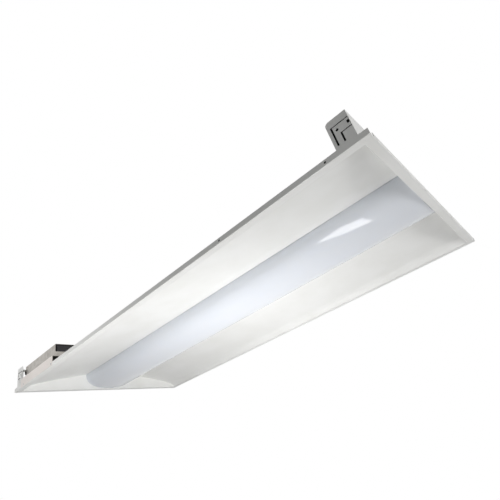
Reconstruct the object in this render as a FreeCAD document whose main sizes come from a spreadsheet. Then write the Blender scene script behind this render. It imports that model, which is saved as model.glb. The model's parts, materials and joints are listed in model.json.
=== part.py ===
import FreeCAD, Part
import math
import os

import Sketcher

# Recessed troffer light for a 2 ft by 4 ft ceiling grid, seen from the room below.
# Millimetres. X is the short side, Y the long side, Z up into the ceiling. The origin is
# the centre of the frame's underside, the face that lies on the grid.
SIZES = {
    "frame_width": 603,
    "frame_span": 1213,
    "sheet": 0.8,
    "bend": 0.8,
    "lip_rise": 10.5,
    "flange_wide": 15,
    "end_inset": 15.5,
    "ear_crest": 1.4,
    "ear_margin": 5,
    "ear_corner": 7,
    # grid clip cut into each ear, measured from the frame's end and underside
    "clip_foot": 15.5,
    "clip_leg_near": 35.5,
    "clip_leg_far": 44,
    "clip_arm_low": 34.3,
    "clip_arm_foot": 5.7,
    "clip_notch_tall": 6,
    "clip_notch_deep": 3.6,
    "clip_arm_head": 4,
    "clip_slit": 2,
    "clip_side_slit": 3,
    "clip_end_gap": 0.6,
    "clip_foot_gap": 0.4,
    "clip_hole_out": 37.9,
    "clip_hole_radius": 2.5,
    # holes in the side lips
    "lip_hole_radius": 2,
    "lip_hole_rise": 5.5,
    "lip_hole_first": 74,
    "lip_hole_second": 305.5,
    # side reflector
    "land_gap": 1.3,
    "scoop_start_gap": 0.3,
    "scoop_run": 14.8,
    "scoop_rise": 14.4,
    "scoop_radius": 35,
    "crown_bow": 2.8,
    "reflector_top": 48.5,
    "leg_gap": 2,
    "end_gap": 0.2,
    # lens
    "lens_half": 83.5,
    "lens_gap": 1,
    "lens_wall": 2,
    "lens_bottom": 3,
    "lens_shoulder": 44,
    "lens_rim": 55,
    "lens_fullness": 2.4,
    "lens_end_gap": 1,
    "cap_wall": 2,
    "cap_fit": 0.1,
    "pivot_inset": 5.6,
    "pivot_rise": 42,
    "pin_radius": 1.5,
    "pin_play": 0.05,
    "pin_head_radius": 2.8,
    "pin_head_wall": 1.2,
    "pin_proud": 2.5,
    # gear tray and light engine
    "tray_rise": 62,
    "tray_foot_gap": 2,
    "tab_half": 60,
    "tab_reach": 12,
    "board_wide": 26,
    "board_end_gap": 21.2,
    "board_wall": 1.6,
    "board_out": 38,
    "board_middle_gap": 8,
    "chip_pitch": 24.5,
    "chip_long": 3.5,
    "chip_wide": 2.8,
    "chip_rise": 0.7,
    "plug_wide": 8,
    "plug_long": 14,
    "plug_rise": 3.6,
    "plug_inset": 6,
    "plug_gap": 1,
    "feed_inset": 111.5,
    "wire_radius": 0.9,
    "wire_pitch": 4,
    "wire_drop": 2.6,
    "catch_wide": 14,
    "catch_wall": 0.5,
    "catch_gap": 0.3,
    "catch_bump": 2,
    "catch_drop": 3,
    "catch_shift": 50,
    # driver compartment, on the -X side at the +Y end
    "box_end_gap": 38.7,
    "box_span": 193,
    "box_wide": 71.8,
    "floor_gap": 0.33,
    "end_lip_rise": 12.9,
    "tray_leg_foot": 2.5,
    "side_plate_foot": 1.6,
    "side_plate_tail": 10.2,
    "side_plate_gap": 0.3,
    "side_screw_inset": 7.5,
    "side_screw_rise": 7,
    "foot_inset": 1.5,
    "foot_play": 0.1,
    "driver_wide": 60,
    "driver_span": 138,
    "driver_rise": 32.3,
    "driver_headroom": 0.5,
    "driver_setback": 3.5,
    "driver_corner": 1,
    "driver_foot": 10,
    "driver_foot_wall": 1.2,
    "cable_radius": 1.3,
    "nut_wide": 16,
    "nut_long": 18,
    "nut_rise": 10,
    "ground_inset": 18.3,
    "gland_radius": 8,
    "gland_bore": 6,
    "gland_flange": 11,
    "gland_flange_wall": 2,
    "gland_reach": 20,
    "gland_tail": 4,
    "gland_inset": 12.5,
    # knock-outs and hanger holes in the end plates
    "knockout_radius": 11.1,
    "knockout_gap": 0.1,
    "knockout_pitch": 40,
    "hanger_radius": 3,
    "hanger_out": 150,
    "hanger_drop": 6,
    # fasteners
    "screw_radius": 1.75,
    "screw_play": 0.05,
    "screw_head": 3.5,
    "screw_head_rise": 2,
    "screw_reach": 3.6,
    "rivet_radius": 1.6,
    "rivet_head": 3,
    "rivet_head_rise": 1,
    "rivet_reach": 2.4,
    "rivet_drop": 2,
    "rivet_pitch": 330,
}

doc = FreeCAD.newDocument("Troffer")
sheet = doc.addObject("Spreadsheet::Sheet", "Dim")
for row, (word, number) in enumerate(SIZES.items(), start=1):
    sheet.set("A%d" % row, word)
    sheet.set("B%d" % row, str(number))
    sheet.setAlias("B%d" % row, word)
doc.recompute()

Vec = FreeCAD.Vector
AXIS_X = Vec(1, 0, 0)
AXIS_Y = Vec(0, 1, 0)
AXIS_Z = Vec(0, 0, 1)
# turns a profile drawn flat into one seen along the fixture: across is X, up is Z
ALONG_Y = FreeCAD.Rotation(AXIS_X, 90)
# the same, seen from the side: across is Y, up is Z
ALONG_X = FreeCAD.Rotation(Vec(1, 1, 1), 120)
nodes = {}

# places worked out from the driving sizes
SIDE = "(Dim.frame_width / 2)"
SIDE_INNER = "(%s - Dim.sheet)" % SIDE
END = "(Dim.frame_span / 2)"
WALL_OUTER = "(%s - Dim.end_inset)" % END
WALL_INNER = "(%s - Dim.sheet)" % WALL_OUTER
FLANGE_EDGE = "(%s - Dim.flange_wide)" % SIDE
SCOOP_START = "(%s + Dim.scoop_start_gap)" % FLANGE_EDGE
SCOOP_TOP = "(%s - Dim.scoop_run)" % SCOOP_START
SCOOP_RISE = "(Dim.sheet + Dim.scoop_rise)"
LEG_FACE = "(Dim.lens_half + Dim.lens_gap)"
LEG_TOP = "(Dim.tray_rise - Dim.leg_gap)"
CROWN_OUT = "((%s + %s) / 2)" % (SCOOP_TOP, LEG_FACE)
CROWN_RISE = "((%s + Dim.reflector_top) / 2 + Dim.crown_bow)" % SCOOP_RISE
# the arc that leaves a tenth of each run straight when the panel bows by that much
CROWN_RADIUS = "(0.45 * ((%s - %s) / 2) ^ 2 / Dim.crown_bow)" % (SCOOP_TOP, LEG_FACE)
CROWN_SLOPE = "((%s - %s) / (%s - %s))" % (CROWN_RISE, SCOOP_RISE, SCOOP_TOP, CROWN_OUT)
TRAY_FACE = "(%s + Dim.sheet)" % LEG_FACE
TRAY_FOOT = "(Dim.reflector_top + Dim.tray_foot_gap)"
TRAY_TOP = "(Dim.tray_rise + Dim.sheet)"
EAR_TOP = "(%s + Dim.sheet + Dim.ear_crest)" % TRAY_TOP
NOTCH_LOW = "(Dim.clip_arm_low + Dim.clip_arm_foot)"
NOTCH_HIGH = "(%s + Dim.clip_notch_tall)" % NOTCH_LOW
ARM_HIGH = "(%s + Dim.clip_arm_head)" % NOTCH_HIGH
SHEET_SPAN = "(2 * (%s - Dim.end_gap))" % WALL_INNER
PIVOT_OUT = "(Dim.lens_half - Dim.pivot_inset)"
BOARD_LOW = "(Dim.tray_rise - Dim.board_wall)"
BOARD_START = "(Dim.board_middle_gap / 2)"
BOARD_SPAN = "(%s - Dim.board_end_gap - %s)" % (WALL_INNER, BOARD_START)
WIRE_RISE = "(%s - Dim.wire_drop)" % BOARD_LOW
BOX_END = "(%s - Dim.box_end_gap)" % WALL_INNER
BOX_START = "(%s - Dim.box_span)" % BOX_END
BOX_MIDDLE = "(%s - Dim.box_span / 2)" % BOX_END
BOX_OUTER = "(%s - 2 * (Dim.screw_head + Dim.foot_play))" % SIDE_INNER
BOX_INNER = "(%s - Dim.box_wide)" % BOX_OUTER
# the compartment's floor clears the reflector below its inner edge
FLOOR_LOW = "(%s + %s * (%s - %s - Dim.sheet) + Dim.sheet + Dim.floor_gap)" % (
    SCOOP_RISE, CROWN_SLOPE, SCOOP_TOP, BOX_INNER
)
FLOOR_TOP = "(%s + Dim.sheet)" % FLOOR_LOW
BOX_TOP = "(%s + Dim.driver_rise + Dim.driver_headroom + Dim.sheet)" % FLOOR_TOP
END_LIP_TOP = "(%s + Dim.end_lip_rise)" % FLOOR_LOW
FEED_SPOT = "(%s + Dim.feed_inset)" % BOX_START
SIDE_PLATE_SPAN = "(Dim.box_span + Dim.side_plate_tail)"


def size(expression):
    return float(sheet.evalExpression(expression))


def keep(label, feature):
    """Gives a finished sub-part its name."""
    feature.Label = label
    nodes[label] = feature
    return feature


def bindPoint(sketch, shape, place, corner):
    for kind, words in (("DistanceX", corner[0]), ("DistanceY", corner[1])):
        number = size(words)
        index = sketch.addConstraint(Sketcher.Constraint(kind, -1, 1, shape, place, number))
        sketch.setExpression("Constraints[%d]" % index, words)


def drawOutline(sketch, corners, closed):
    """Draws straight runs through the corners, each with its own round where it has one."""
    count = len(corners)
    spots = [Vec(size(corner[0]), size(corner[1]), 0) for corner in corners]
    radii = [size(corner[2]) if len(corner) > 2 else 0 for corner in corners]
    arrive = list(spots)
    leave = list(spots)
    for index in range(count):
        if not radii[index] or (not closed and index in (0, count - 1)):
            continue
        back = (spots[index - 1] - spots[index]).normalize()
        ahead = (spots[(index + 1) % count] - spots[index]).normalize()
        reach = radii[index] / math.tan(back.getAngle(ahead) / 2)
        arrive[index] = spots[index] + back * reach
        leave[index] = spots[index] + ahead * reach
    runs = count if closed else count - 1
    lines = []
    for index in range(runs):
        line = Part.LineSegment(leave[index], arrive[(index + 1) % count])
        lines.append(sketch.addGeometry(line, False))
    for index in range(count):
        if not closed and index in (0, count - 1):
            continue
        before = lines[index - 1]
        after = lines[index]
        if not radii[index]:
            sketch.addConstraint(Sketcher.Constraint("Coincident", before, 2, after, 1))
            bindPoint(sketch, after, 1, corners[index])
            continue
        bindRound(sketch, before, after, arrive[index], leave[index], spots[index], corners[index])
    if not closed:
        bindPoint(sketch, lines[0], 1, corners[0])
        bindPoint(sketch, lines[-1], 2, corners[-1])


def bindRound(sketch, before, after, start, stop, spot, corner):
    radius = size(corner[2])
    back = start - spot
    ahead = stop - spot
    middle = (back + ahead).normalize()
    centre = spot + middle * (radius / math.sin(back.getAngle(ahead) / 2))
    first = start - centre
    last = stop - centre
    turns_left = first.cross(last).z > 0
    angles = [math.atan2(first.y, first.x), math.atan2(last.y, last.x)]
    ends = (1, 2)
    if not turns_left:
        angles.reverse()
        ends = (2, 1)
    circle = Part.Circle(centre, AXIS_Z, radius)
    arc = sketch.addGeometry(Part.ArcOfCircle(circle, angles[0], angles[1]), False)
    sketch.addConstraint(Sketcher.Constraint("Tangent", before, 2, arc, ends[0]))
    sketch.addConstraint(Sketcher.Constraint("Tangent", arc, ends[1], after, 1))
    index = sketch.addConstraint(Sketcher.Constraint("Radius", arc, radius))
    sketch.setExpression("Constraints[%d]" % index, corner[2])
    point = sketch.addGeometry(Part.Point(spot), True)
    sketch.addConstraint(Sketcher.Constraint("PointOnObject", point, 1, before))
    sketch.addConstraint(Sketcher.Constraint("PointOnObject", point, 1, after))
    bindPoint(sketch, point, 1, corner)


def drawCircle(sketch, across, up, radius):
    circle = Part.Circle(Vec(size(across), size(up), 0), AXIS_Z, size(radius))
    shape = sketch.addGeometry(circle, False)
    bindPoint(sketch, shape, 3, (across, up))
    index = sketch.addConstraint(Sketcher.Constraint("Radius", shape, size(radius)))
    sketch.setExpression("Constraints[%d]" % index, radius)


def bentSheet(name, corners, turn, span, side):
    """Folds a sheet along an open profile; side is -1 for metal on the left of the line."""
    sketch = doc.addObject("Sketcher::SketchObject", name + "Line")
    drawOutline(sketch, corners, False)
    wall = doc.addObject("Part::Offset2D", name + "Wall")
    wall.Source = sketch
    wall.Mode = "Skin"
    wall.Join = "Arc"
    wall.Fill = True
    wall.setExpression("Value", "%d * Dim.sheet" % side)
    fold = doc.addObject("Part::Extrusion", name + "Fold")
    fold.Base = wall
    fold.DirMode = "Normal"
    fold.Solid = True
    fold.Symmetric = True
    fold.setExpression("LengthFwd", span)
    fold.Placement = FreeCAD.Placement(Vec(0, 0, 0), turn)
    return fold


def plainBox(name, low, sides):
    box = doc.addObject("Part::Box", name)
    for prop, words in zip(("Length", "Width", "Height"), sides):
        box.setExpression(prop, words)
    for letter, words in zip("xyz", low):
        box.setExpression("Placement.Base." + letter, words)
    return box


def joined(name, pieces):
    fuse = doc.addObject("Part::MultiFuse", name)
    fuse.Shapes = pieces
    fuse.Refine = True
    return fuse


def drilled(name, piece, tool):
    cut = doc.addObject("Part::Cut", name)
    cut.Base = piece
    cut.Tool = tool
    return cut


def mirrored(name, piece, normal):
    copy = doc.addObject("Part::Mirroring", name)
    copy.Source = piece
    copy.Normal = normal
    return copy


def shaped(name, solids):
    """A feature whose shape is worked out from the sheet's values."""
    feature = doc.addObject("Part::Feature", name)
    feature.Shape = solids[0] if len(solids) == 1 else Part.makeCompound(solids)
    return feature


def rod(spot, along, radius, reach):
    """A round bar or drill, centred on the spot."""
    return Part.makeCylinder(radius, reach, spot - along * (reach / 2), along)


def profileBody(name, role, outlines, circles, reach, low):
    """A body padded from closed outlines and round holes on one of its own planes."""
    body = doc.addObject("PartDesign::Body", name)
    sketch = body.newObject("Sketcher::SketchObject", name + "Sketch")
    plane = [item for item in body.Origin.OriginFeatures if item.Role == role][0]
    sketch.AttachmentSupport = [(plane, "")]
    sketch.MapMode = "FlatFace"
    for corners in outlines:
        drawOutline(sketch, corners, True)
    for across, up, radius in circles:
        drawCircle(sketch, across, up, radius)
    pad = body.newObject("PartDesign::Pad", name + "Pad")
    pad.Profile = sketch
    pad.setExpression("Length", reach)
    for letter, words in zip("xyz", low):
        if words:
            body.setExpression("Placement.Base." + letter, words)
    return body


def panScrew(head, along, radius, head_radius, head_rise, reach):
    """A round-topped screw or rivet: the head's underside is at the spot, the shank runs along."""
    cap = Part.makeCylinder(head_radius, head_rise, Vec(0, 0, -head_rise))
    top = [edge for edge in cap.Edges if edge.CenterOfMass.z < -head_rise * 0.9 and len(edge.Vertexes) == 1]
    cap = cap.makeFillet(head_rise * 0.7, top)
    solid = cap.fuse(Part.makeCylinder(radius, reach)).removeSplitter().Solids[0]
    solid.Placement = FreeCAD.Placement(head, FreeCAD.Rotation(AXIS_Z, along))
    return solid


def screwRow(name, spots, along):
    words = ("screw_radius", "screw_head", "screw_head_rise", "screw_reach")
    values = [size("Dim." + word) for word in words]
    return keep(name, shaped(name, [panScrew(spot, along, *values) for spot in spots]))


def screwHoles(name, spots, along):
    radius = size("Dim.screw_radius + Dim.screw_play")
    reach = size("4 * Dim.screw_reach")
    return shaped(name, [rod(spot, along, radius, reach) for spot in spots])


# ---- frame ----

def sideRails():
    rail = bentSheet(
        "Rail",
        [
            ("-" + SIDE_INNER, "Dim.lip_rise"),
            ("-" + SIDE_INNER, "Dim.sheet", "Dim.bend"),
            ("-" + FLANGE_EDGE, "Dim.sheet"),
        ],
        ALONG_Y,
        "Dim.frame_span",
        1,
    )
    spots = []
    for word in ("lip_hole_first", "lip_hole_second"):
        along = size("Dim.%s - %s" % (word, END))
        spots.append(Vec(size("-" + SIDE), along, size("Dim.lip_hole_rise")))
    radius = size("Dim.lip_hole_radius")
    tool = shaped("LipDrill", [rod(spot, AXIS_X, radius, 4 * radius) for spot in spots])
    drilled_rail = drilled("RailDrilled", rail, tool)
    gap = "Dim.side_plate_gap"
    notch = plainBox(
        "RailNotch",
        ("-%s - Dim.sheet" % SIDE, BOX_START + " - " + gap, "Dim.side_plate_foot - " + gap),
        ("3 * Dim.sheet", "%s + 2 * %s" % (SIDE_PLATE_SPAN, gap), "2 * Dim.lip_rise"),
    )
    keep("side_rail_left", drilled("RailLeft", drilled_rail, notch))
    keep("side_rail_right", mirrored("RailRight", drilled_rail, AXIS_X))


def earOutline():
    near = "-" + WALL_OUTER
    far = "(-%s + Dim.clip_leg_far + Dim.clip_side_slit + Dim.ear_margin)" % END
    return [
        (near, "(Dim.sheet + Dim.bend)"),
        (far, "(Dim.sheet + Dim.bend)"),
        (far, EAR_TOP, "Dim.ear_corner"),
        (near, EAR_TOP),
    ]


def clipWindow():
    fold = "-" + WALL_INNER
    inner = "(-%s + Dim.clip_leg_near - Dim.clip_side_slit)" % END
    outer = "(-%s + Dim.clip_leg_far + Dim.clip_side_slit)" % END
    step = "(Dim.clip_arm_low - Dim.clip_slit)"
    top = "(%s + Dim.clip_slit)" % ARM_HIGH
    return [
        (inner, "Dim.clip_foot"),
        (outer, "Dim.clip_foot"),
        (outer, top),
        (fold, top),
        (fold, step),
        (inner, step),
    ]


def endPlates():
    ear = profileBody(
        "Ear", "YZ_Plane", [earOutline(), clipWindow()], [], "Dim.sheet", ("-" + SIDE_INNER, "", "")
    )
    wall = bentSheet(
        "EndWall",
        [
            ("(-%s + Dim.sheet)" % END, "Dim.lip_rise"),
            ("(-%s + Dim.sheet)" % END, "Dim.sheet", "Dim.bend"),
            ("-" + WALL_OUTER, "Dim.sheet", "Dim.bend"),
            ("-" + WALL_OUTER, EAR_TOP),
        ],
        ALONG_X,
        "2 * " + FLANGE_EDGE,
        1,
    )
    wings = plainBox(
        "EndWings",
        ("-" + SIDE_INNER, "-" + WALL_OUTER, "Dim.sheet + Dim.bend"),
        ("2 * " + SIDE_INNER, "Dim.sheet", EAR_TOP + " - Dim.sheet - Dim.bend"),
    )
    tab = plainBox(
        "TrayTab",
        ("-Dim.tab_half", "-" + WALL_OUTER, TRAY_TOP),
        ("2 * Dim.tab_half", "Dim.tab_reach", "Dim.sheet"),
    )
    blank = joined("EndBlank", [wall, wings, tab, ear, mirrored("EarRight", ear, AXIS_X)])
    side = size("Dim.hanger_out")
    height = size(EAR_TOP + " - Dim.hanger_drop")
    holes = []
    for across in (-side, side):
        spot = Vec(across, size("-" + WALL_OUTER), height)
        holes.append(rod(spot, AXIS_Y, size("Dim.hanger_radius"), size("Dim.end_inset")))
    pivot = Vec(size(PIVOT_OUT), size("-" + WALL_OUTER), size("Dim.pivot_rise"))
    holes.append(rod(pivot, AXIS_Y, size("Dim.pin_radius + Dim.pin_play"), size("Dim.end_inset")))
    near = drilled("EndDrilled", blank, shaped("EndDrill", holes))
    near = drilled("EndTabDrilled", near, screwHoles("TabDrill", tabSpots(-1), AXIS_Z))
    knock = []
    for spot in knockoutSpots():
        knock.append(rod(spot, AXIS_Y, size("Dim.knockout_radius"), size("Dim.end_inset")))
    far = drilled("EndFar", mirrored("EndMirror", near, AXIS_Y), shaped("KnockDrill", knock))
    keep("end_plate_near", near)
    keep("end_plate_far", far)


def tabSpots(end):
    along = end * size("%s - Dim.tab_reach / 2" % WALL_INNER)
    side = size("Dim.tab_half / 2 + Dim.screw_head")
    return [Vec(across, along, size(TRAY_TOP + " + Dim.sheet")) for across in (-side, side)]


def knockoutSpots():
    """The first is in line with the compartment's cable connector, so a cable runs straight in."""
    gland = glandSpot()
    spots = []
    for step in (0, 1):
        across = gland.x + step * size("Dim.knockout_pitch")
        spots.append(Vec(across, size(WALL_OUTER), gland.z))
    return spots


def knockoutDisc():
    spot = knockoutSpots()[1]
    radius = size("Dim.knockout_radius - Dim.knockout_gap")
    disc = rod(spot - AXIS_Y * size("Dim.sheet / 2"), AXIS_Y, radius, size("Dim.sheet"))
    keep("knockout_disc", shaped("KnockoutDisc", [disc]))


def gridClips():
    end = "(-%s + %s)"
    tip = "(-%s + Dim.clip_end_gap)" % WALL_INNER
    leg_near = end % (END, "Dim.clip_leg_near")
    leg_far = end % (END, "Dim.clip_leg_far")
    notch = "(%s + Dim.clip_notch_deep)" % tip
    foot = "(Dim.clip_foot + Dim.clip_foot_gap)"
    outline = [
        (leg_near, foot),
        (leg_far, foot),
        (leg_far, ARM_HIGH),
        (tip, ARM_HIGH),
        (tip, NOTCH_HIGH),
        (notch, NOTCH_HIGH),
        (notch, NOTCH_LOW),
        (tip, NOTCH_LOW),
        (tip, "Dim.clip_arm_low"),
        (leg_near, "Dim.clip_arm_low"),
    ]
    middle = "((Dim.clip_arm_low + %s) / 2)" % ARM_HIGH
    hole = (end % (END, "Dim.clip_hole_out"), middle, "Dim.clip_hole_radius")
    clip = profileBody("Clip", "YZ_Plane", [outline], [hole], "Dim.sheet", ("-" + SIDE_INNER, "", ""))
    far = mirrored("ClipFar", clip, AXIS_Y)
    keep("grid_clip_near_left", clip)
    keep("grid_clip_far_left", far)
    keep("grid_clip_near_right", mirrored("ClipNearRight", clip, AXIS_X))
    keep("grid_clip_far_right", mirrored("ClipFarRight", far, AXIS_X))


# ---- reflectors and gear tray ----

def rivetSpots(side):
    spots = []
    for step in (-1.5, -0.5, 0.5, 1.5):
        across = side * size(TRAY_FACE + " + Dim.sheet")
        height = size(LEG_TOP + " - Dim.rivet_drop")
        spots.append(Vec(across, step * size("Dim.rivet_pitch"), height))
    return spots


def rivetHoles(name):
    radius = size("Dim.rivet_radius + Dim.screw_play")
    spots = rivetSpots(-1) + rivetSpots(1)
    return shaped(name, [rod(spot, AXIS_X, radius, size("4 * Dim.rivet_reach")) for spot in spots])


def feedHoles(name):
    spots = [Vec(size("-" + TRAY_FACE), along, size(WIRE_RISE)) for along in feedPlaces()]
    radius = size("Dim.wire_radius + Dim.screw_play")
    return shaped(name, [rod(spot, AXIS_X, radius, size("Dim.board_wide")) for spot in spots])


def feedPlaces():
    half = size("Dim.wire_pitch / 2")
    middle = size(FEED_SPOT)
    return (middle - half, middle + half)


def sideReflectors():
    land = "(-%s + Dim.land_gap)" % SIDE_INNER
    panel = bentSheet(
        "Reflector",
        [
            (land, "Dim.sheet"),
            ("-" + SCOOP_START, "Dim.sheet", "Dim.bend"),
            ("-" + SCOOP_TOP, SCOOP_RISE, "Dim.scoop_radius"),
            ("-" + CROWN_OUT, CROWN_RISE, CROWN_RADIUS),
            ("-" + LEG_FACE, "Dim.reflector_top", "Dim.bend"),
            ("-" + LEG_FACE, LEG_TOP),
        ],
        ALONG_Y,
        SHEET_SPAN,
        -1,
    )
    riveted = drilled("ReflectorDrilled", panel, rivetHoles("ReflectorDrill"))
    keep("side_reflector_left", drilled("ReflectorLeft", riveted, feedHoles("LegFeedDrill")))
    keep("side_reflector_right", mirrored("ReflectorRight", riveted, AXIS_X))


def gearTray():
    tray = bentSheet(
        "Tray",
        [
            ("-" + TRAY_FACE, TRAY_FOOT),
            ("-" + TRAY_FACE, "Dim.tray_rise", "Dim.bend"),
            (TRAY_FACE, "Dim.tray_rise", "Dim.bend"),
            (TRAY_FACE, TRAY_FOOT),
        ],
        ALONG_Y,
        SHEET_SPAN,
        -1,
    )
    tray = drilled("TrayRivetDrilled", tray, rivetHoles("TrayRivetDrill"))
    tray = drilled("TrayTabDrilled", tray, screwHoles("TrayTabDrill", tabSpots(-1) + tabSpots(1), AXIS_Z))
    tray = drilled("TrayBoardDrilled", tray, screwHoles("TrayBoardDrill", allBoardSpots(), AXIS_Z))
    keep("gear_tray", drilled("GearTray", tray, feedHoles("TrayFeedDrill")))
    screwRow("tray_screws", tabSpots(-1) + tabSpots(1), Vec(0, 0, -1))
    words = ("rivet_radius", "rivet_head", "rivet_head_rise", "rivet_reach")
    values = [size("Dim." + word) for word in words]
    rivets = [panScrew(spot, AXIS_X, *values) for spot in rivetSpots(-1)]
    rivets += [panScrew(spot, Vec(-1, 0, 0), *values) for spot in rivetSpots(1)]
    keep("reflector_rivets", shaped("ReflectorRivets", rivets))


# ---- lens ----

def lensCurve(half, bottom):
    """Lower outline of the lens, a full-sided oval, from its left shoulder to its right one."""
    shoulder = size("Dim.lens_shoulder")
    power = 2 / size("Dim.lens_fullness")
    steps = 16
    points = []
    for step in range(steps + 1):
        angle = math.pi * step / steps
        across = -math.copysign(abs(math.cos(angle)) ** power, math.cos(angle))
        drop = abs(math.sin(angle)) ** power if 0 < step < steps else 0
        points.append(Vec(across * half, 0, shoulder - drop * (shoulder - bottom)))
    curve = Part.BSplineCurve()
    curve.interpolate(points)
    return points[0], curve.toShape(), points[-1]


def lensOutline(half, bottom, rim):
    """Closed face between the lower curve and a straight rim."""
    first, curve, last = lensCurve(half, bottom)
    left = Vec(-half, 0, rim)
    right = Vec(half, 0, rim)
    edges = [Part.makeLine(left, first), curve, Part.makeLine(last, right), Part.makeLine(right, left)]
    return Part.Face(Part.Wire(edges))


def troughOutline(half, bottom, rim, wall):
    """The lens's own section: a wall between two such curves, open at the top."""
    first, outer, last = lensCurve(half, bottom)
    inner_first, inner, inner_last = lensCurve(half - wall, bottom + wall)
    rims = [Vec(across, 0, rim) for across in (-half, half, half - wall, wall - half)]
    edges = [
        Part.makeLine(rims[0], first),
        outer,
        Part.makeLine(last, rims[1]),
        Part.makeLine(rims[1], rims[2]),
        Part.makeLine(rims[2], inner_last),
        inner,
        Part.makeLine(inner_first, rims[3]),
        Part.makeLine(rims[3], rims[0]),
    ]
    return Part.Face(Part.Wire(edges))


def lens():
    half = size("Dim.lens_half")
    wall = size("Dim.lens_wall")
    bottom = size("Dim.lens_bottom")
    rim = size("Dim.lens_rim")
    reach = size("2 * (%s - Dim.lens_end_gap)" % WALL_INNER)
    trough = troughOutline(half, bottom, rim, wall).extrude(AXIS_Y * reach)
    trough.translate(AXIS_Y * (-reach / 2))
    keep("lens", shaped("Lens", [trough]))
    fit = size("Dim.cap_fit")
    cap_wall = size("Dim.cap_wall")
    cap = lensOutline(half - wall - fit, bottom + wall + fit, rim).extrude(AXIS_Y * cap_wall)
    pivot = Vec(size(PIVOT_OUT), 0, size("Dim.pivot_rise"))
    cap = cap.cut(rod(pivot, AXIS_Y, size("Dim.pin_radius"), 4 * cap_wall))
    for label, end in (("lens_end_cap_near", -1), ("lens_end_cap_far", 1)):
        copy = cap.copy()
        start = -reach / 2 if end < 0 else reach / 2 - cap_wall
        copy.translate(AXIS_Y * start)
        keep(label, shaped(label, [copy]))
        lensPin(label.replace("end_cap", "hinge_pin"), end, reach / 2, cap_wall, pivot)


def lensPin(label, end, lens_end, cap_wall, pivot):
    along = Vec(0, end, 0)
    head_wall = size("Dim.pin_head_wall")
    start = pivot + along * (lens_end - cap_wall)
    reach = size(WALL_OUTER + " + Dim.pin_proud") - start.dot(along)
    shank = Part.makeCylinder(size("Dim.pin_radius"), reach, start, along)
    head = Part.makeCylinder(size("Dim.pin_head_radius"), head_wall, start - along * head_wall, along)
    keep(label, shaped(label, [shank.fuse(head).removeSplitter()]))


def lensCatches():
    """Leaf springs whose bumps bear on the inside of the lens's free rim."""
    wall = size("Dim.catch_wall")
    tip = size("-Dim.lens_half + Dim.lens_wall + Dim.catch_gap")
    front = tip + size("Dim.catch_bump")
    back = front + wall
    bump = size("Dim.lens_rim - Dim.catch_drop")
    low = bump - size("Dim.catch_bump")
    neck = bump + size("Dim.catch_bump")
    top = size("Dim.tray_rise")
    foot = size("Dim.catch_wide")
    leaf = [
        Vec(front, 0, low),
        Vec(tip, 0, bump),
        Vec(front, 0, neck),
        Vec(front, 0, top),
        Vec(back + foot, 0, top),
        Vec(back + foot, 0, top - wall),
        Vec(back, 0, top - wall),
        Vec(back, 0, neck),
        Vec(tip + wall, 0, bump),
        Vec(back, 0, low),
    ]
    leaf_face = Part.Face(Part.makePolygon(leaf + [leaf[0]]))
    solids = []
    for step in (-1, 0, 1):
        along = step * size(FEED_SPOT + " - Dim.catch_shift") - foot / 2
        solid = leaf_face.extrude(AXIS_Y * foot)
        solid.translate(AXIS_Y * along)
        solids.append(solid)
    keep("lens_catch_springs", shaped("LensCatches", solids))


# ---- light engine ----

def boardPlaces():
    out = size("Dim.board_out")
    gap = size(BOARD_START)
    reach = size(BOARD_SPAN)
    places = {}
    for side_word, side in (("left", -1), ("right", 1)):
        for end_word, start in (("near", -gap - reach), ("far", gap)):
            places["%s_%s" % (end_word, side_word)] = (side * out, start)
    return places


def boardSpots(across, start):
    reach = size(BOARD_SPAN)
    inset = size("Dim.plug_inset + Dim.plug_long + Dim.plug_gap + Dim.screw_head")
    edge = size("Dim.board_wide / 2 - Dim.screw_head")
    side = math.copysign(edge, across)
    low = size(BOARD_LOW)
    return [Vec(across + side, start + inset + step * (reach - 2 * inset) / 2, low) for step in (0, 1, 2)]


def allBoardSpots():
    spots = []
    for across, start in boardPlaces().values():
        spots += boardSpots(across, start)
    return spots


def lightBoards():
    wide = size("Dim.board_wide")
    reach = size(BOARD_SPAN)
    low = size(BOARD_LOW)
    pitch = size("Dim.chip_pitch")
    chip = [size("Dim." + word) for word in ("chip_wide", "chip_long", "chip_rise")]
    for word, (across, start) in boardPlaces().items():
        name = "Board" + word.title().replace("_", "")
        box = doc.addObject("Part::Box", name + "Blank")
        box.setExpression("Length", "Dim.board_wide")
        box.setExpression("Width", BOARD_SPAN)
        box.setExpression("Height", "Dim.board_wall")
        box.Placement.Base = Vec(across - wide / 2, start, low)
        drill = screwHoles(name + "Drill", boardSpots(across, start), AXIS_Z)
        keep("led_board_" + word, drilled(name, box, drill))
        count = int(reach // pitch) - 1
        first = start + (reach - (count - 1) * pitch) / 2
        chips = []
        for index in range(count):
            corner = Vec(across - chip[0] / 2, first + index * pitch - chip[1] / 2, low - chip[2])
            chips.append(Part.makeBox(chip[0], chip[1], chip[2], corner))
        keep("leds_" + word, shaped("Chips" + name, chips))
    screwRow("board_screws", allBoardSpots(), AXIS_Z)


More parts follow.
